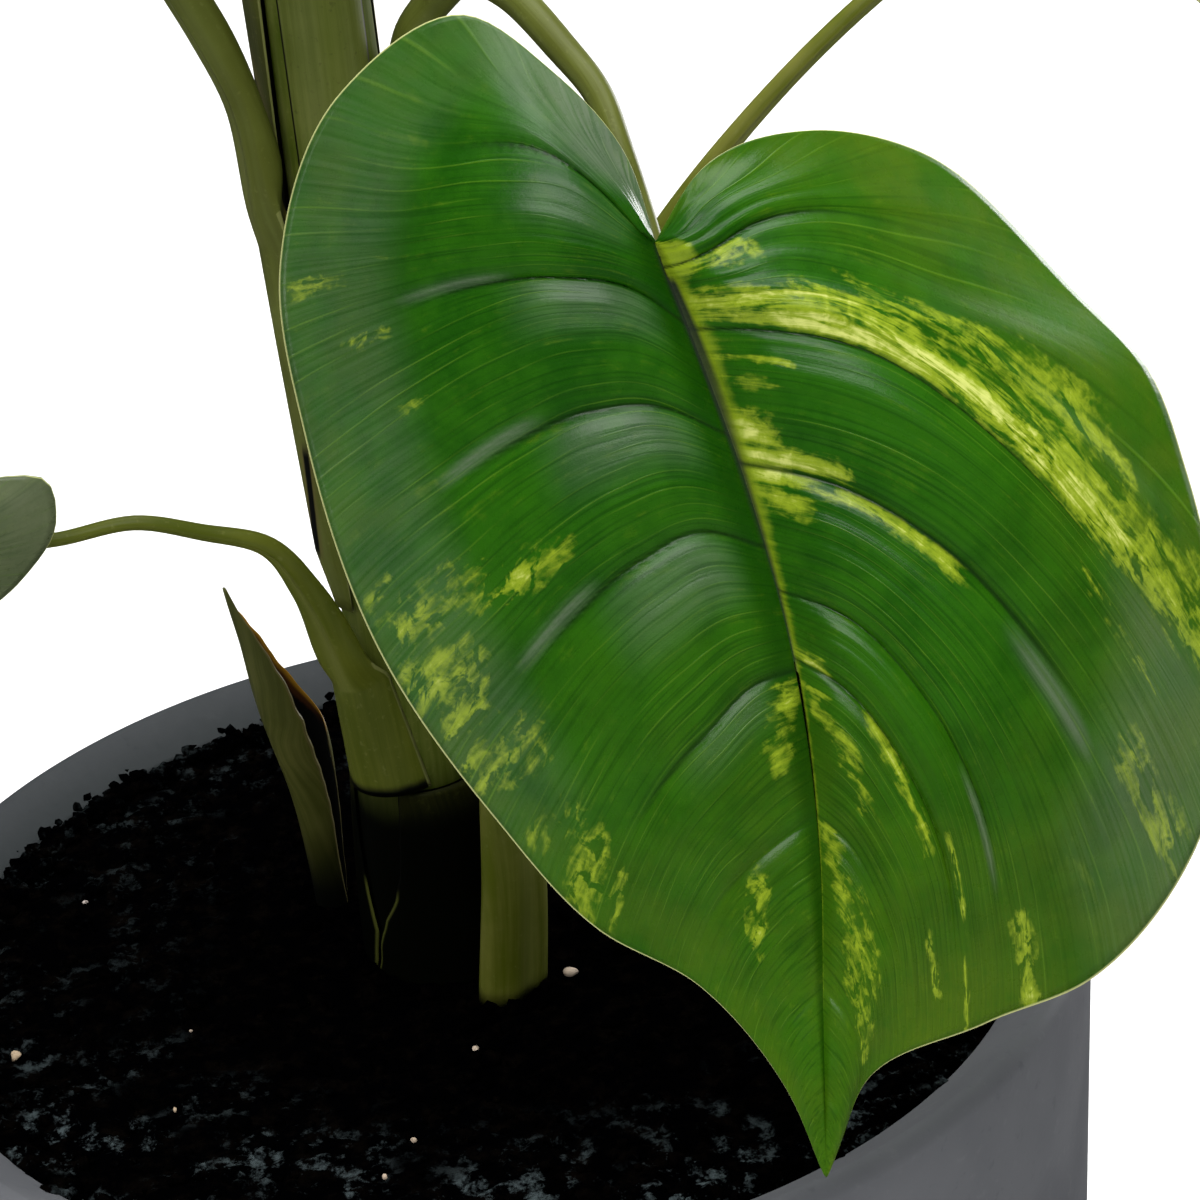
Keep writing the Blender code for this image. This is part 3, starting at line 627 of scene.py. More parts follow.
def piece_from(name, points, faces, finish, stands_for=(), values=(), weld=1e-7):
    """A smooth-shaded piece riding on the root. values are numbers stored at its points."""
    mesh = bpy.data.meshes.new(name)
    mesh.from_pydata(np.asarray(points, float).tolist(), [], [list(map(int, q)) for q in faces])
    for key, numbers in dict(values).items():
        layer = mesh.attributes.new(key, "FLOAT", "POINT")
        layer.data.foreach_set("value", np.ascontiguousarray(numbers, np.float32).ravel())
    shape = bmesh.new()
    shape.from_mesh(mesh)
    bmesh.ops.remove_doubles(shape, verts=shape.verts, dist=weld)
    bmesh.ops.recalc_face_normals(shape, faces=shape.faces)
    shape.to_mesh(mesh)
    shape.free()
    mesh.shade_smooth()
    mesh.materials.append(finish)
    piece = added(name, mesh)
    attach(piece, ROOT)
    if stands_for:
        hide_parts(*stands_for)
    return piece


# ---- leaves

BLADE_THICKNESS = 0.0008
# How many vein spacings the way from the midrib to the edge counts as along a streak.
STREAK_STRETCH = 3.5
# The leaf length at which the quilting has its full depth.
FULL_LENGTH = 0.2
FOLD_WIDTH = 0.03
# The relief's strength, and the breadths of the midrib's pale side and of its channel, at
# these main veins.
QUILT_AT = (0.0, 0.5, 1.5, 2.5, 3.5, 4.5, 5.5, 6.5, 8.0)
QUILT = (0.1, 0.6, 1.0, 1.15, 1.05, 0.9, 0.7, 0.45, 0.1)
RIB_BREADTH_AT = (0.0, 1.0, 2.0, 3.0, 5.0, 8.0)
RIB_BREADTH = (0.03, 0.038, 0.034, 0.023, 0.014, 0.009)
TROUGH_BREADTH = (0.03, 0.048, 0.05, 0.036, 0.02, 0.01)
KNOB_AT = (0.018, 0.02)
KNOB_RADIUS = 0.0052
KNOB_HEIGHT = 0.0006
LIPPED_VEINS = (2.6, 2.9, 4.3, 4.6)
RISE_AND_FALL = (0, 1, 1, 0)


def half_blade(outline, ends, spine, arch, reach, side):
    """One half of a leaf's middle surface, in leaf lengths: rows along the veins, and columns
    out to the edge."""
    edge = smooth(lengths_along(outline), outline, ends)
    chord = edge - spine
    bend = np.stack([chord[:, 1], -chord[:, 0]], axis=1) * side * arch
    handle = (spine + edge)[:, :2] / 2 + bend
    t = reach[None, :, None]
    flat = (1 - t) ** 2 * spine[:, None, :2] + 2 * t * (1 - t) * handle[:, None]
    flat += t**2 * edge[:, None, :2]
    breadth = np.linalg.norm(chord[:, :2], axis=1)[:, None]
    t = reach[None, :]
    rise = spine[:, 2:3] + chord[:, 2:3] * t**2 + LEAF_DOME * breadth * 4 * t * (1 - t) ** 1.5
    return np.concatenate([flat, rise[..., None]], axis=-1)


def veins_at(rows, reach, wander):
    """Each point's place among the main veins, where whole numbers lie on a vein."""
    ways = [wander.get(vein, STRAIGHT) for vein in range(VEINS)]
    lines = np.arange(VEINS) + smooth(WANDER_AT, np.array(ways, float).T, reach)
    return np.stack([np.interp(rows, line, np.arange(VEINS)) for line in lines], axis=1)


def quilting(vein, rows, reach, side, seed):
    """The blade's relief in millimetres, and how deep in a fold, on the midrib's pale side and
    in its channel each point is."""
    part = vein - np.floor(vein)
    gap = np.minimum(part, 1 - part)
    ends = ramp(rows, 0.0, 0.25) * (1 - ramp(rows, 7.6, 8.0))
    size = np.interp(vein, QUILT_AT, QUILT)
    inner = ramp(reach, 0.0, 0.11)
    outer = 1 - ramp(reach, 0.4, 0.92)
    crown = (4 * part * (1 - part)) ** (0.62 + 0.38 * ramp(reach, 0.35, 0.8))
    fold = bell(gap, 0, FOLD_WIDTH) * (1 - ramp(reach, 0.44, 0.78))
    fold *= np.interp(vein, (0.3, 0.9, 5.4, 6.5), (0.0, 1.0, 0.8, 0.0))
    comb = np.sin(2 * math.pi * (4 * vein + 0.35 * np.sin(2.7 * vein + seed)))
    lip = bell(part, 0.08, 0.045) * np.interp(vein, LIPPED_VEINS, RISE_AND_FALL)
    lip *= (ramp(reach, 0.38, 0.5) - ramp(reach, 0.6, 0.72)) * (side > 0)
    combed = 0.07 + (0.05 + np.interp(vein, (1.6, 2.4), (0.1, 0.0))) * (side > 0)
    waves = np.sin(1.9 * rows + seed) * ramp(reach, 0.7, 1.0)
    breadth = np.interp(rows, RIB_BREADTH_AT, RIB_BREADTH)
    rib = (1 - ramp(reach / breadth, 0.2, 1.5)) * (side > 0)
    trough = np.interp(rows, RIB_BREADTH_AT, TROUGH_BREADTH)
    channel = 1 - ramp(reach / trough, 0.2, 0.34 if side > 0 else 0.42)
    channel *= np.interp(rows, (0.6, 1.4, 5.0, 7.0), (0.0, 1.0, 0.7, 0.0))
    relief = 2.7 * size * crown * inner * outer - 0.35 * fold * inner
    relief += combed * comb * inner * (1 - ramp(reach, 0.75, 1.0))
    relief += 0.9 * waves + 1.3 * lip - 1.1 * channel
    return relief * ends, fold, rib * ends, channel


def painted_sheen_at(vein, rows, reach, side):
    """How strongly the front leaf's painted sheen, a pale grey for highlights and reflections,
    shows at each point of one half.
    """
    part = vein - np.floor(vein)
    if side > 0:
        crest = bell(part, 0.09, 0.05) * np.interp(vein, LIPPED_VEINS, RISE_AND_FALL)
        crest *= 0.45 * (ramp(reach, 0.42, 0.52) - ramp(reach, 0.62, 0.74))
        edge = 0.26 * ramp(reach, 0.62, 0.8) * np.interp(rows, (2.2, 2.7, 3.6, 4.4), RISE_AND_FALL)
        return np.maximum(crest, edge)
    lobe = 0.55 * (1 - ramp(rows, 0.3, 0.75)) * ramp(reach, 0.3, 0.62)
    edge = 0.16 * ramp(reach, 0.66, 0.8) * np.interp(rows, (0.4, 1.0, 4.2, 5.0), RISE_AND_FALL)
    crest = bell(part, 0.94, 0.035) * np.interp(vein, (1.5, 1.8, 4.1, 4.4), RISE_AND_FALL)
    crest *= 0.5 * (ramp(reach, 0.4, 0.5) - ramp(reach, 0.62, 0.76))
    below = ramp(part, 0.02, 0.08) * (1 - ramp(part, 0.26, 0.6))
    below *= ramp(reach, 0.05, 0.14) * (1 - ramp(reach, 0.3, 0.5))
    below *= 0.22 * np.interp(vein, (1.0, 2.0, 4.8, 5.4), (0.3, 1, 1, 0))
    return np.maximum.reduce([lobe, edge, below, crest])


def streaks_at(vein, reach, streaks):
    """How strongly the pale streaks of one half cover each point. A streak stays between the
    two main veins that it starts between."""
    cover = np.zeros_like(vein)
    across = np.broadcast_to(reach * STREAK_STRETCH, vein.shape)
    for start, near, end, far, breadth, strength in streaks:
        run = np.array([end - start, (far - near) * STREAK_STRETCH])
        over = vein - start
        along = across - near * STREAK_STRETCH
        f = np.clip((over * run[0] + along * run[1]) / (run @ run), 0, 1)
        off = np.hypot(over - f * run[0], along - f * run[1])
        field = np.floor(vein) == math.floor(start)
        soft = strength * (1 - ramp(off, 0.1 * breadth, 1.9 * breadth))
        cover = np.maximum(cover, np.where(field, soft, 0.0))
    return cover


def normals_of(places, outward):
    """Directions square to a grid surface, on the side that outward points to."""
    down = np.gradient(places, axis=0)
    over = np.gradient(places, axis=1)
    square = np.cross(down, over)
    size = np.linalg.norm(square, axis=-1, keepdims=True)
    square = np.where(size > 1e-12, square / np.maximum(size, 1e-12), outward)
    return square * np.where((square @ outward)[..., None] < 0, -1.0, 1.0)


def make_leaf(name, finish, rows_per_vein, columns):
    """A leaf's blade, from one edge over the midrib to the other, with its underside."""
    notch, tip, face, (left, right, midrib, veins), droop, _, streaks = LEAVES[name]
    front = name == "front"
    seed = 1.7 * len(name)
    rows = np.linspace(0, VEINS - 1, (VEINS - 1) * rows_per_vein + 1)
    reach = np.linspace(0, 1, columns + 1) ** 1.35
    roots, left_ends, right_ends = smooth(range(VEINS), veins, rows).T
    spine = smooth(lengths_along(midrib), midrib, roots)
    arch = smooth(range(VEINS), VEIN_ARCHES, rows)
    across, along, normal, length = leaf_frame(notch, tip, face)
    down = rows[:, None]
    out = reach[None, :]
    halves = []
    for outline, ends, side in ((left, left_ends, -1), (right, right_ends, 1)):
        shape = half_blade(outline, ends, spine, arch, reach, side)
        vein = veins_at(rows, reach, FRONT_WANDER[side] if front else {})
        relief, fold, rib, channel = quilting(vein, down, out, side, seed + side)
        if front:
            knob_x, knob_y = KNOB_AT
            away = length * np.hypot(shape[..., 0] - knob_x, shape[..., 1] - knob_y)
            knob = 1 - ramp(away, 0.55 * KNOB_RADIUS, KNOB_RADIUS)
            knob *= (side > 0) * ramp(shape[..., 0], 0.0, 0.01)
            rib = np.maximum(rib, knob)
            channel = channel * (1 - knob)
            shape[..., 2] += KNOB_HEIGHT * knob / length
        else:
            relief *= 0.75 * length / FULL_LENGTH
        shape[..., 2] += relief / 1000 / length
        reaches = np.broadcast_to(out, vein.shape)
        sides = np.full_like(vein, side)
        cover = streaks_at(vein, out, streaks[side])
        painted_sheen = painted_sheen_at(vein, down, out, side) * front
        halves.append((shape, [vein, reaches, sides, cover, fold, rib, channel, painted_sheen]))
    (left_shape, left_numbers), (right_shape, right_numbers) = halves
    grid = np.concatenate([left_shape[:, :0:-1], right_shape], axis=1)
    bow = droop * grid[..., 1:2] * (1 - grid[..., 1:2])
    places = (
        np.asarray(notch)
        + length * grid[..., 0:1] * across
        + length * grid[..., 1:2] * along
        + length * (grid[..., 2:3] + bow) * normal
    )
    lifted = normals_of(places, normal) * BLADE_THICKNESS / 2
    points = np.concatenate([(places + lifted).reshape(-1, 3), (places - lifted).reshape(-1, 3)])
    count, wide = places.shape[:2]
    size = count * wide
    upper = grid_faces(count, wide)
    faces = [upper, upper[:, ::-1] + size]
    for column in (0, wide - 1):
        a = np.arange(count - 1) * wide + column
        faces.append(np.stack([a, a + wide, a + wide + size, a + size], axis=1))
    layers = [np.concatenate([a[:, :0:-1], b], axis=1) for a, b in zip(left_numbers, right_numbers)]
    values = {key: np.tile(layer.ravel(), 2) for key, layer in zip(LEAF_LAYERS, layers)}
    values["under"] = np.repeat([0.0, 1.0], size)
    node = f"leaf_{name}"
    blade = np.concatenate(faces)
    return piece_from(f"{node}_blade", points, blade, finish, [node], values)


def make_leaves():
    green = leaf_finish("leaf_green", DEEP_GREEN, MID_GREEN, WARM_GREEN)
    # The left leaf's grey-green copy stands in for the sheen on its upper side.
    grey = leaf_finish("leaf_sheen_grey_green", LEAF_SHEEN_GREY, LEAF_SHEEN_PALE, LEAF_SHEEN_PALE)
    for name in LEAVES:
        rows, columns = (34, 60) if name == "front" else (14, 26)
        make_leaf(name, grey if name == "left" else green, rows, columns)


# ---- stems and sheaths

# How high the stems' feet stand, on the soil.
FOOT = 0.2624
# Each stem: its sheath's lowest and highest points, azimuths, widths, depths and layers, as
# hugging takes them, and then its petiole's stations as (x, y, z, width, depth).
STEMS = {
    "front": (
        (0.41, 0.488, (-11, -14), (0.01, 0.0112), (0.002, 0.0042), (0, 0)),
        (0.0095, -0.0065, 0.503, 0.0125, 0.007), (0.0168, -0.0105, 0.5125, 0.012, 0.008),
        (0.0238, -0.0215, 0.5215, 0.0095, 0.008), (0.0312, -0.037, 0.5225, 0.0078, 0.0074),
        (0.0406, -0.055, 0.5155, 0.007, 0.0068), (0.0473, -0.07, 0.5086, 0.0062, 0.0062),
        (0.0498, -0.0805, 0.501, 0.0056, 0.0056), (0.0522, -0.0885, 0.4916, 0.0052, 0.005),
    ),
    "left": (
        (0.3165, 0.345, (-124, -136), (0.024, 0.0165), (0.005, 0.0058), (0, 0.35)),
        (-0.0243, -0.0138, 0.3553, 0.0126, 0.0084), (-0.0296, -0.019, 0.3755, 0.008, 0.0066),
        (-0.0378, -0.0248, 0.3915, 0.0052, 0.0048), (-0.0507, -0.027, 0.3975, 0.0042, 0.004),
        (-0.0652, -0.029, 0.4031, 0.0037, 0.0036), (-0.084, -0.0305, 0.4022, 0.0035, 0.0034),
        (-0.102, -0.033, 0.404, 0.0033, 0.0033),
    ),
    "upper_left": (
        (0.362, 0.456, (200, 197), (0.0108, 0.013), (0.0036, 0.0044), (0, 1)),
        (-0.0271, -0.0042, 0.474, 0.0115, 0.0098), (-0.0288, -0.0036, 0.49, 0.011, 0.0086),
        (-0.034, -0.003, 0.5072, 0.0105, 0.0098), (-0.0385, -0.0028, 0.518, 0.01, 0.0098),
        (-0.045, -0.0022, 0.532, 0.0092, 0.009), (-0.062, 0.0, 0.556, 0.0076, 0.0074),
        (-0.085, 0.004, 0.574, 0.0062, 0.006), (-0.107, 0.008, 0.58, 0.0054, 0.005),
    ),
    "back_left": (
        (0.37, 0.545, (148, 151), (0.016, 0.02), (0.0012, 0.0064), (0, 0)),
        (-0.0275, 0.015, 0.572, 0.012, 0.007), (-0.035, 0.029, 0.612, 0.0088, 0.007),
        (-0.052, 0.056, 0.66, 0.0068, 0.006), (-0.074, 0.094, 0.702, 0.0058, 0.0054),
        (-0.096, 0.133, 0.72, 0.0052, 0.005),
    ),
    "back_right": (
        (0.39, 0.53, (52, 50), (0.013, 0.015), (0.002, 0.0028), (0, 0)),
        (0.003, 0.017, 0.56, 0.0115, 0.0068), (0.015, 0.033, 0.598, 0.0084, 0.0066),
        (0.036, 0.062, 0.636, 0.0066, 0.006), (0.064, 0.096, 0.664, 0.0056, 0.0052),
        (0.093, 0.126, 0.672, 0.005, 0.0048),
    ),
    "high": (
        (0.362, 0.55, (-87, -87), (0.02, 0.0215), (0.002, 0.0028), (0, 0)),
        (-0.01, -0.016, 0.58, 0.013, 0.0072), (-0.015, -0.029, 0.62, 0.009, 0.007),
        (-0.025, -0.052, 0.665, 0.0068, 0.006), (-0.04, -0.081, 0.697, 0.0056, 0.0052),
    ),
}
# The right leaf's stem from the soil up, and the core's way from the sheaths to the top leaf.
STEM_RIGHT = (
    (0.0064, -0.0225, FOOT, 0.0196, 0.013), (0.0096, -0.0215, 0.29, 0.0184, 0.0122),
    (0.012, -0.0185, 0.33, 0.0132, 0.0106), (0.0215, -0.0125, 0.372, 0.0098, 0.0088),
    (0.0375, -0.0055, 0.411, 0.0076, 0.0072), (0.0598, 0.0, 0.443, 0.006, 0.0058),
    (0.0862, 0.002, 0.4716, 0.0048, 0.0048), (0.1134, 0.005, 0.4936, 0.0046, 0.0046),
    (0.145, 0.0085, 0.512, 0.0044, 0.0044), (0.18, 0.0118, 0.5225, 0.0042, 0.0042),
)
CORE_RISE = (
    (-0.0085, 0.0025, 0.59, 0.015, 0.015), (-0.005, 0.0045, 0.64, 0.01, 0.01),
    (0.002, 0.008, 0.71, 0.0075, 0.0072), (0.011, 0.007, 0.77, 0.0064, 0.006),
    (0.018, -0.001, 0.808, 0.0058, 0.0054),
)
STEM_SIDES = 48
FREE_WRAP = 0.06
FLAT_WRAP = 0.5
JOINT_NARROWING = 0.9
RAGS_PER_METRE = 190


def core_radius(height):
    """The core's radius, which stays the same over its last height."""
    return float(smooth(*zip(*CORE_RADII), min(height, CORE_RADII[-1][0]))[0, 0])


def between(pair, f):
    """The value at a fraction of the way from a pair's first number to its second."""
    return pair[0] + (pair[1] - pair[0]) * f


def hugging(bottom, top, azimuths, widths, depths, layers, thin=0.0):
    """Stations of a sheath wrapped on the core. Each pair gives the value at its bottom and
    its top, azimuths are in degrees from +X, and layers count the sheaths beneath it. It
    thins out over the first part, thin, of its height."""
    stations = []
    for f in np.linspace(0, 1, 25):
        height = between((bottom, top), f)
        wrap = core_radius(height) + HUG_GAP + between(layers, f) * (SHEATH_DEPTH + HUG_GAP)
        depth = between(depths, f) * (0.25 + 0.75 * min(1.0, f / thin) if thin else 1.0)
        place = (AXIS_X, AXIS_Y, height) + wrap * compass(between(azimuths, f))
        stations.append((*place, between(widths, f), depth, wrap, 1.0))
    return stations


def free(stations, before, start, steps=72):
    """Stations of a petiole that leaves the sheath's stations before and start smoothly and
    goes through (x, y, z, width, depth)."""
    rows = [before, start] + [(*station, FREE_WRAP, 0.0) for station in stations]
    knots = lengths_along([row[:3] for row in rows])
    at = np.linspace(knots[1], 1, steps + 1)[1:]
    return [tuple(row) for row in smooth(knots, np.array(rows), at)]


def section(width, depth, wrap, hug, channel):
    """A lens bent round a circle of radius wrap: its points across and outward, their places
    over the flat lens, how deep in its channel they are, and which lie on its inner side.
    With hug at 1 that side lies on the circle, and at 0 the lens is an ellipse."""
    turns = np.arange(STEM_SIDES) / STEM_SIDES
    angle = 2 * math.pi * turns
    even = 2 * np.abs(1 - 2 * turns) - 1
    across = width / 2 * (np.cos(angle) * (1 - hug) + even * hug)
    outer = np.sin(angle) > 0
    side = np.where(outer, 1 + hug, 1 - hug)
    outward = depth / 2 * np.sin(angle) * side
    groove = np.where(outer, channel * depth * bell(across, 0, 0.16 * width), 0.0)
    y, x = around_axis(wrap + outward - groove, across / wrap)
    return x, y - wrap, across, groove / (channel * depth + 1e-9), ~outer


def swept(name, stations, outward, finish, level=1, channel=0.1):
    """A stem through stations of (x, y, z, width, depth, wrap, hug), whose outer face starts
    towards outward and follows the path without twisting. Its sections are level up to the
    station numbered level."""
    points = np.array([station[:3] for station in stations])
    tangents = np.gradient(points, axis=0)
    tangents[:level] = (0.0, 0.0, 1.0)
    travelled = np.concatenate([[0], np.cumsum(np.linalg.norm(np.diff(points, axis=0), axis=1))])
    places, layers = [], []
    for point, tangent, station, run in zip(points, tangents, stations, travelled):
        along = unit(tangent)
        outward = unit(outward - np.dot(outward, along) * along)
        across = np.cross(outward, along)
        width, depth, wrap, hug = station[3:]
        x, y, flat, groove, inner = section(width, depth, wrap, hug, channel * (1 - hug))
        places.append(point + x[:, None] * across + y[:, None] * outward)
        margin = np.abs(flat) / (width / 2) * min(1.0, hug * 3)
        layers.append((np.full(STEM_SIDES, run), flat, margin, groove, inner * hug))
    return closed_skin(name, np.array(places), layers, finish)


def closed_skin(name, places, layers, finish):
    """A closed skin through rings of points, with the stem layers' numbers for each ring."""
    ends = np.stack([places[0].mean(0), places[-1].mean(0)])
    vertices = np.concatenate([places.reshape(-1, 3), ends])
    faces = ring_faces(*places.shape[:2])
    values = {}
    for key, numbers in zip(STEM_LAYERS, zip(*layers)):
        values[key] = np.append(np.concatenate(numbers), [0.0, 0.0])
    return piece_from(f"{name}_skin", vertices, faces, finish, [name], values)


def curled(name, rows, finish, ragged, sides=120):
    """A thin shell round an upright axis through rows of (x, y, z, radius, start, end,
    thickness). Its edges lie at the start and end azimuths, ragged by a few degrees."""
    turns = np.arange(sides) / sides
    even = 1 - np.abs(1 - 2 * turns)
    swell = np.maximum(0.0, np.sin(2 * math.pi * turns)) ** 0.6
    inside = (swell == 0.0).astype(float)
    places, layers = [], []
    for x, y, height, radius, start, end, thickness in rows:
        start += ragged * noise.noise(Vector((height * RAGS_PER_METRE, 0.0, 0.0)))
        end += ragged * noise.noise(Vector((height * RAGS_PER_METRE, 9.0, 0.0)))
        angle = np.radians(start + (end - start) * even)
        out_x, out_y = around_axis(radius + thickness * swell, angle)
        places.append(np.stack([x + out_x, y + out_y, np.full(sides, height)], axis=1))
        arc = radius * (angle - angle.mean())
        layers.append((0 * arc + height, arc, np.abs(2 * even - 1), 0 * arc, inside))
    return closed_skin(name, np.array(places), layers, finish)


def make_core(finish):
    """The innermost stem, which carries the top leaf."""
    stations = []
    for height in np.linspace(FOOT, 0.555, 70):
        size = 2 * core_radius(height)
        stations.append((AXIS_X, AXIS_Y, height, size, size, FLAT_WRAP, 0.0))
    rise = CORE_RISE + ((*joint_of("top"), 0.0048, 0.0046),)
    level = len(stations) - 1
    stations += free(rise, stations[-8], stations[-1], 60)
    swept("stem_top", stations, compass(-90), finish, level, channel=0.0)


def make_stems():
    """The core, the stems wrapped on it, and the right leaf's own stem."""
    plain_stem = stem_finish("petiole_olive")
    finishes = {
        "left": stem_finish(
            # Its lowest rim is painted black, the shadow ring under its base.
            "left_sheath_olive", (0.052, 0.066, 0.003), (0.082, 0.094, 0.009), (0.3175, 0.32),
        ),
        "upper_left": stem_finish(
            "sheath_slit_olive", gaps=((-0.0262, 0.01, 0.374, 0.408, 0.0007),),
        ),
        "back_left": stem_finish(
            # Its darker olive body is painted shade for a sheath that lies behind the others.
            "sheath_shaded_olive", (0.05, 0.056, 0.01), OLIVE,
            gaps=((-0.0209, -0.155, 0.456, 0.525, 0.001),),
        ),
        "high": stem_finish(
            "sheath_pale_olive", (0.08, 0.098, 0.016), (0.112, 0.128, 0.028),
            edge_colour=(0.012, 0.008, 0.003),
        ),
    }
    make_core(stem_finish(
        # Painted shade darkens the core low down, inside the lowest sheath's opening.
        "core_olive", (0.05, 0.072, 0.006), shade_below=(0.304, 0.326), gloss=0.03,
    ))
    for name, (sheath, *petiole) in STEMS.items():
        stations = hugging(*sheath, thin=0.16 if name == "upper_left" else 0.0)
        width, depth = petiole[-1][3:]
        petiole.append((*joint_of(name), JOINT_NARROWING * width, JOINT_NARROWING * depth))
        level = len(stations) - 1
        stations += free(petiole, stations[-5], stations[-1])
        finish = finishes.get(name, plain_stem)
        swept(f"stem_{name}", stations, compass(sheath[2][0]), finish, level, channel=0.16)
    right_stem = stem_finish(
        "right_stem_olive", (0.07, 0.086, 0.004), (0.125, 0.128, 0.022), (0.26, 0.268),
    )
    rows = [(*row, FLAT_WRAP, 0.0) for row in STEM_RIGHT + ((*joint_of("right"), 0.004, 0.004),)]
    at = lengths_along([row[:3] for row in rows])
    stations = [tuple(row) for row in smooth(at, rows, np.linspace(0, 1, 110))]
    swept("stem_right", stations, compass(-50), right_stem)


# The lowest sheath: heights, and the azimuths where its wall starts and ends.
LOWER_SHEATH = (
    (FOOT, 206.5, 563.5), (0.274, 217.0, 573.0), (0.2784, 223.0, 569.0), (0.2856, 237.0, 563.0),
    (0.2953, 244.0, 556.0), (0.308, 248.0, 550.0), (0.315, 250.0, 548.0),
)
# The lost leaf's sheath: x, y, height, radius, the azimuths where its wall starts and ends,
# and its thickness.
BUD_SHEATH = (
    (-0.0345, 0.0285, FOOT, 0.0034, 30.0, 325.0, 0.0016),
    (-0.0348, 0.0285, 0.274, 0.0037, 15.0, 316.0, 0.0016),
    (-0.0356, 0.0285, 0.296, 0.005, 2.0, 305.0, 0.0016),
    (-0.0376, 0.0285, 0.312, 0.0064, 0.0, 295.0, 0.0015),
    (-0.0386, 0.0287, 0.319, 0.0068, 56.0, 288.0, 0.0014),
    (-0.0398, 0.0289, 0.328, 0.0069, 94.0, 280.0, 0.0013),
    (-0.0412, 0.0292, 0.339, 0.0068, 126.0, 256.0, 0.0011),
    (-0.0426, 0.0294, 0.347, 0.0068, 160.0, 232.0, 0.0009),
    (-0.044, 0.0296, 0.355, 0.0069, 198.0, 208.0, 0.0007),
)


def make_sheaths():
    """The two old sheaths at the foot, one round the core and one beside it."""
    # The lowest sheath's near-black tones are painted shade; only its thin margins stay pale.
    low_finish = stem_finish(
        "low_sheath_shaded_black", (0.009, 0.011, 0.002), (0.02, 0.021, 0.004), (0.304, 0.318),
        (0.055, 0.061, 0.012), edge_below=0.285, gloss=0.02, edge_from=0.972,
    )
    heights, starts, ends = zip(*LOWER_SHEATH)
    rows = []
    for height in np.linspace(heights[0], heights[-1], 50):
        start = np.interp(height, heights, starts)
        end = np.interp(height, heights, ends)
        thickness = 0.0034 - 0.02 * (height - heights[0])
        radius = core_radius(height) + HUG_GAP
        rows.append((AXIS_X, AXIS_Y, height, radius, start, end, thickness))
    curled("lower_sheath", rows, low_finish, 1.8, 360)
    bud_finish = stem_finish(
        "bud_sheath_olive", (0.04, 0.046, 0.007), (0.074, 0.076, 0.017), (0.266, 0.296),
        (0.08, 0.07, 0.022), 0.316,
    )
    heights = [row[2] for row in BUD_SHEATH]
    rows = smooth(heights, BUD_SHEATH, np.linspace(heights[0], heights[-1], 90))
    curled("bud_sheath", rows, bud_finish, 6.0)


# ---- pot and soil

POT_HEIGHT = 0.27
POT_RADIUS = 0.15
BASE_RADIUS = 0.133
LIP_WIDTH = 0.016
LIP_DROP = 0.0065
EDGE_ROUND = 0.004
LIP_ROUND = 0.002
FLOOR_THICKNESS = 0.016
FLOOR_ROUND = 0.01
SOIL_TOP = 0.262
SOIL_GAP = 0.0004
SOIL_SHOULDER = 0.003
SOIL_REACH = 0.1325
TURNED_SIDES = 240


def corner(centre, radius, start, end, steps=8):
    """Points on a rounded corner of a profile, from one angle in degrees to another."""
    out, up = around_axis(radius, np.radians(np.linspace(start, end, steps + 1)))
    return [*zip(centre[0] + out, centre[1] + up)]


def inner_radius(height):
    """The pot's inside wall, which leans with the outside."""
    lean = (POT_RADIUS - BASE_RADIUS) / POT_HEIGHT
    return POT_RADIUS - LIP_WIDTH - lean * (POT_HEIGHT - height)


def turned(name, profile, finish, stands_for, lift=None):
    """A surface of revolution whose profile starts and ends on the axis. lift(x, y, z) adds
    a small rise."""
    angles = 2 * math.pi * np.arange(TURNED_SIDES) / TURNED_SIDES
    radii, heights = np.array(profile[1:-1]).T[..., None]
    x, y = around_axis(radii, angles)
    z = heights + 0 * x
    if lift:
        z += np.vectorize(lift)(x, y, z)
    ends = [(0.0, 0.0, profile[0][1]), (0.0, 0.0, profile[-1][1])]
    points = np.concatenate([np.stack([x, y, z], axis=-1).reshape(-1, 3), ends])
    faces = ring_faces(len(radii), TURNED_SIDES)
    return piece_from(name, points, faces, finish, stands_for)


def make_pot():
    """The pot, from its base up its outside, over its lip and down to its floor."""
    lip_edge = POT_HEIGHT - LIP_DROP
    profile = [(0.0, 0.0)]
    profile += corner((BASE_RADIUS - EDGE_ROUND, EDGE_ROUND), EDGE_ROUND, -90, 0)
    for f in np.linspace(0.04, 1, 40):
        radius = between((BASE_RADIUS, POT_RADIUS - 0.0009), f)
        profile.append((radius, f * (POT_HEIGHT - 0.016)))
    profile += corner((POT_RADIUS - EDGE_ROUND, POT_HEIGHT - EDGE_ROUND), EDGE_ROUND, 0, 105)
    inside = inner_radius(lip_edge)
    profile += corner((inside + LIP_ROUND, lip_edge - LIP_ROUND), LIP_ROUND, 105, 180)
    profile += [(inner_radius(h), h) for h in np.linspace(lip_edge - 2 * LIP_ROUND, 0.03, 12)]
    bend = FLOOR_THICKNESS + FLOOR_ROUND
    profile += corner((inner_radius(bend) - FLOOR_ROUND, bend), FLOOR_ROUND, 0, -90)
    profile += [(0.0, FLOOR_THICKNESS)]
    turned("pot_body", profile, pot_finish(), ["pot"])


def soil_lift(x, y, z):
    """Clods and hollows in the soil's top, flat against the pot's floor and wall."""
    if z < SOIL_TOP - 0.0045:
        return 0.0
    here = Vector((x, y, 0.0))
    clods = noise.fractal(here * 75, 0.8, 2.1, 4)
    fine = noise.fractal(here * 330, 0.7, 2.1, 3)
    return 0.0013 * clods + 0.0008 * fine


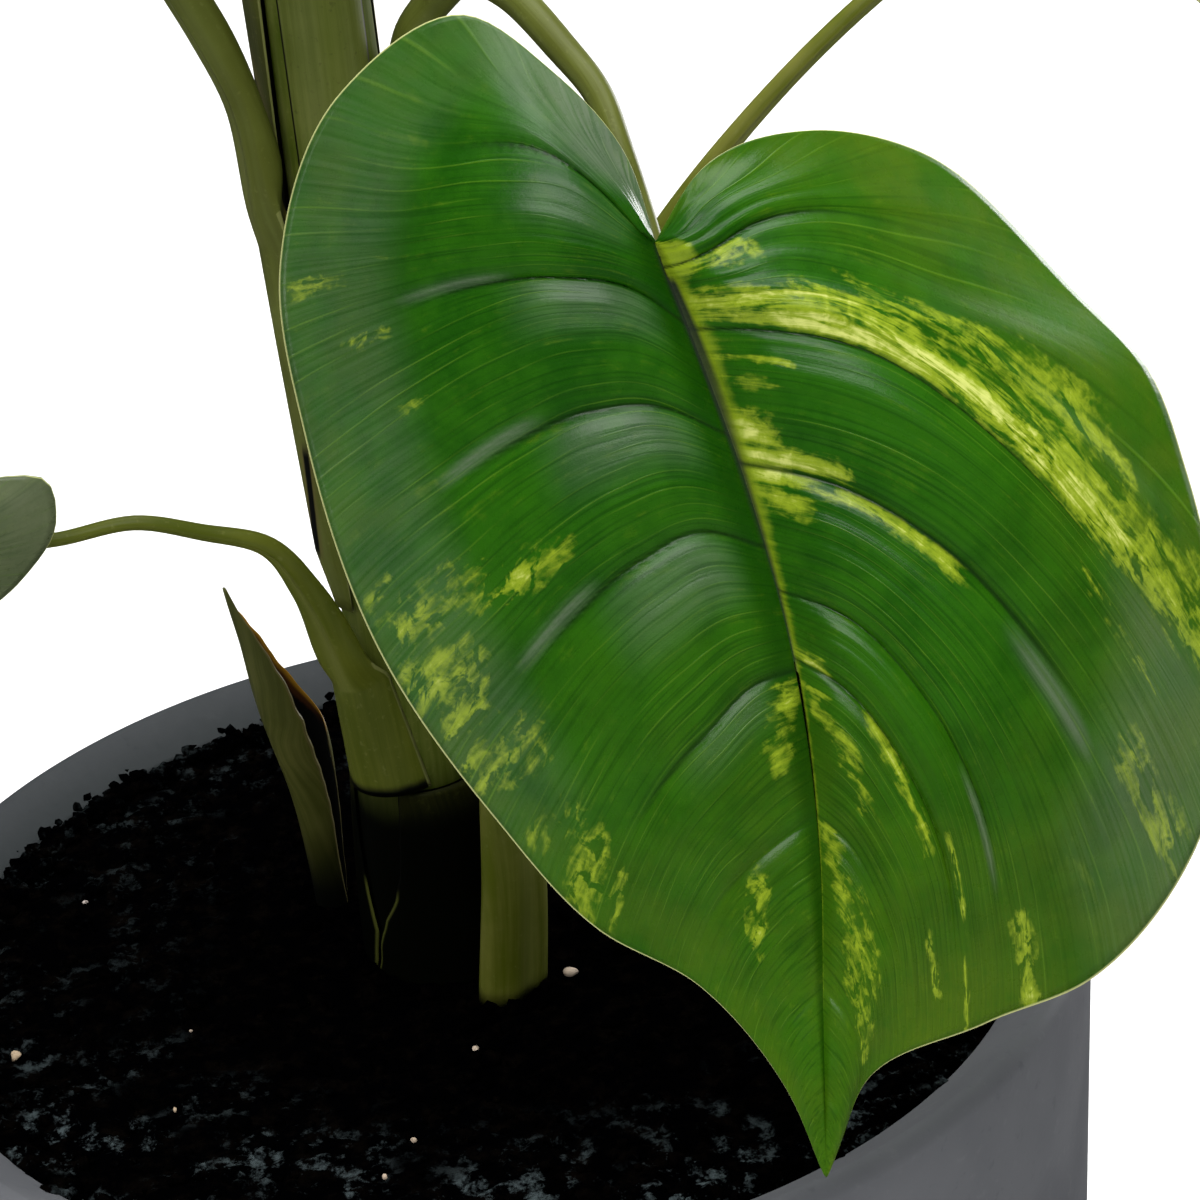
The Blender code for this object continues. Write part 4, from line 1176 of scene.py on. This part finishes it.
def make_soil(finish):
    """The soil that fills the pot, a small gap inside its floor and wall."""
    bottom = FLOOR_THICKNESS + SOIL_GAP
    centre = (inner_radius(FLOOR_THICKNESS + FLOOR_ROUND) - FLOOR_ROUND, bottom + FLOOR_ROUND)
    profile = [(0.0, bottom)]
    profile += corner(centre, FLOOR_ROUND - SOIL_GAP, -90, 0)
    wall = inner_radius(SOIL_TOP - SOIL_SHOULDER) - SOIL_GAP
    profile += [(wall, SOIL_TOP - SOIL_SHOULDER)]
    profile += [(r, SOIL_TOP - 0.0012 * (r / wall) ** 8) for r in np.linspace(wall, 0.004, 78)]
    profile += [(0.0, SOIL_TOP)]
    turned("soil_bed", profile, finish, ["soil"], soil_lift)


def lump_shape():
    """The corners of an icosahedron (a top, two rings of five and a bottom) and its faces."""
    corners = [(0.0, 0.0, 1.0)]
    for turn, height in ((0, 0.447), (36, -0.447)):
        for angle in np.radians(turn + 72 * np.arange(5)):
            corners.append((*around_axis(0.894, angle), height))
    corners.append((0.0, 0.0, -1.0))
    faces = []
    for k in range(5):
        a = 1 + k
        b = 1 + (k + 1) % 5
        faces += [(0, a, b), (a, a + 5, b), (b, a + 5, b + 5), (11, b + 5, a + 5)]
    return np.array(corners), faces


def scattered(name, places, sizes, finish, squash, seed, rounded=False):
    """Many small irregular lumps in one piece."""
    random = np.random.default_rng(seed)
    corners, triangles = lump_shape()
    points, faces = [], []
    for place, size in zip(places, sizes):
        lump = corners * random.uniform(0.45, 1.35, (12, 1)) * size
        turn = np.linalg.qr(random.normal(size=(3, 3)))[0]
        lump = lump @ turn * (1.0, 1.0, squash)
        faces += [[len(points) + k for k in face] for face in triangles]
        points += (lump + place).tolist()
    piece = piece_from(name, points, faces, finish, weld=1e-9)
    if rounded:
        rounding = piece.modifiers.new("rounding", "SUBSURF")
        rounding.levels = rounding.render_levels = 1


def soil_height(x, y):
    """How high the soil's top is at a place."""
    return SOIL_TOP + soil_lift(x, y, SOIL_TOP)


def on_soil(random, count, inner=0.0, reach=SOIL_REACH):
    """Points spread evenly over the soil between two radii."""
    radius = np.sqrt(random.uniform(inner**2, reach**2, count))
    x, y = around_axis(radius, random.uniform(0, 2 * math.pi, count))
    return np.stack([x, y, [soil_height(*point) for point in zip(x, y)]], axis=1)


# The feet that clods lie round: x, y and radius. The perlite's grains: x, y and size.
FEET = ((0.0064, -0.0225, 0.0075), (-0.0095, 0.002, 0.0185), (-0.0345, 0.0285, 0.0045))
PERLITE = (
    (0.0206, -0.02, 0.0026), (-0.1145, -0.024, 0.0021), (-0.0045, -0.045, 0.0014),
    (-0.0212, -0.0815, 0.0011), (-0.0284, -0.0954, 0.001), (-0.0764, -0.0556, 0.001),
    (-0.0719, -0.0226, 0.0009), (0.078, 0.035, 0.0016), (0.052, 0.085, 0.0013),
    (-0.045, 0.098, 0.0015), (-0.098, 0.045, 0.001), (0.101, -0.015, 0.0012),
)


def make_soil_pieces():
    """The soil, its crumbs and clods, what lies on the lip at the back left, and perlite."""
    finish = soil_finish()
    make_soil(finish)
    random = np.random.default_rng(12)
    places = np.concatenate([on_soil(random, 1150), on_soil(random, 450, 0.124)])
    sizes = random.uniform(0.0006, 0.0021, len(places)) * random.uniform(0.6, 1.0, len(places))
    scattered("soil_crumbs", places, sizes, finish, 0.75, 3)
    places = [on_soil(random, 620), on_soil(random, 320, 0.1255)]
    for x, y, radius in FEET:
        places.append(on_soil(random, 90, radius, radius + 0.003) + (x, y, 0.0))
    places = np.concatenate(places)
    sizes = random.uniform(0.0014, 0.0038, len(places)) * random.uniform(0.5, 1.0, len(places))
    scattered("soil_clods", places, sizes, finish, 0.8, 8)
    angle = np.radians(random.uniform(50, 220, 760))
    spread = [0.0022 + 0.0026 * noise.noise(Vector((a * 14, 0.0, 5.0))) for a in angle]
    radius = 0.13 + np.abs(random.normal(size=len(angle))) * np.maximum(0.0006, spread)
    height = SOIL_TOP + 0.0002 + 0.3 * np.maximum(0.0, radius - 0.132)
    places = np.stack([*around_axis(radius, angle), height], axis=1)
    sizes = random.uniform(0.0008, 0.003, len(places))
    scattered("soil_on_lip", places, sizes, finish, 0.6, 21)
    places = [(x, y, soil_height(x, y) + 0.3 * size) for x, y, size in PERLITE]
    sizes = [size for _, _, size in PERLITE]
    scattered("perlite_grains", places, sizes, grain_finish(), 0.8, 5, True)


# ---- studio and camera


def make_floor():
    """A pale floor that turns to plain white far away."""
    mesh = bpy.data.meshes.new("studio_floor")
    shape = bmesh.new()
    bmesh.ops.create_grid(shape, x_segments=8, y_segments=8, size=9.0)
    shape.to_mesh(mesh)
    shape.free()
    f = new_finish("pale_floor", (0.86, 0.86, 0.86))
    f.paint(f.noise(3.0, 3.0), (0.9, 0.9, 0.9))
    far = f.rise(f.radius(), 1.4, 3.6) * f.node("ShaderNodeLightPath")
    glow = f.blend(far, (0.0, 0.0, 0.0), (1.0, 1.0, 1.0))
    mesh.materials.append(f.done(
        Roughness=0.8, Specular_IOR_Level=0.2, Emission_Color=glow, Emission_Strength=0.75,
    ))
    floor = added("studio_floor", mesh)
    floor.visible_glossy = False


def make_light(name, place, target, size, watts):
    """A softbox at a place, turned to face its target."""
    light = bpy.data.lights.new(name, "AREA")
    light.shape = "RECTANGLE"
    light.size, light.size_y = size
    light.energy = watts
    lamp = added(name, light)
    lamp.location = place
    lamp.rotation_mode = "QUATERNION"
    lamp.rotation_quaternion = (Vector(target) - Vector(place)).to_track_quat("-Z", "Y")


def make_studio():
    """White surroundings, dimmer in reflections, with the floor and four softboxes."""
    world = bpy.data.worlds.new("studio")
    bpy.context.scene.world = world
    f = Finish(world)
    seen = f.node("ShaderNodeLightPath")
    mirrored_ray = f.node("ShaderNodeLightPath", output=3)
    strength = 0.3 + seen * 0.75 - mirrored_ray * 0.26
    ground = f.node("ShaderNodeBackground", inputs={"Color": (1, 1, 1, 1), "Strength": strength})
    f.node("ShaderNodeOutputWorld", inputs={0: ground})
    make_floor()
    make_light("overhead_softbox", (0.1, 0.3, 2.3), (0.0, 0.0, 0.4), (2.0, 2.0), 78)
    make_light("front_high_softbox", (0.0, -1.75, 2.35), (0.0, -0.1, 0.4), (1.7, 1.2), 52)
    make_light("left_softbox", (-2.0, 0.4, 0.75), (0.0, 0.0, 0.45), (0.7, 1.2), 12)
    make_light("right_softbox", (1.4, 1.5, 0.35), (0.1, 0.0, 0.2), (0.8, 0.7), 27)
    bpy.context.scene.view_settings.view_transform = "Standard"


CAMERA_DISTANCE = 1.2
CAMERA_ELEVATION = 31.5
CAMERA_LENS = 146.5
# The camera's turns in degrees, one after the other, about its own axes.
CAMERA_TURNS = ((90 - CAMERA_ELEVATION, "X"), (-1.9, "Y"), (3.5, "X"), (-7.4, "Z"))


def make_camera():
    """A long lens above and in front of the pot, looking down at the front leaf."""
    data = bpy.data.cameras.new("camera")
    data.sensor_width = 36.0
    data.lens = CAMERA_LENS
    data.clip_start = 0.05
    data.clip_end = 60.0
    camera = added("camera", data)
    bpy.context.scene.camera = camera
    out, up = around_axis(CAMERA_DISTANCE, math.radians(CAMERA_ELEVATION))
    pose = Matrix.Translation((0.0, -out, up + POT_HEIGHT))
    for angle, axis in CAMERA_TURNS:
        pose @= Matrix.Rotation(math.radians(angle), 4, axis)
    camera.matrix_world = pose


def main():
    make_pot()
    make_soil_pieces()
    make_stems()
    make_sheaths()
    make_leaves()
    make_studio()
    make_camera()


main()
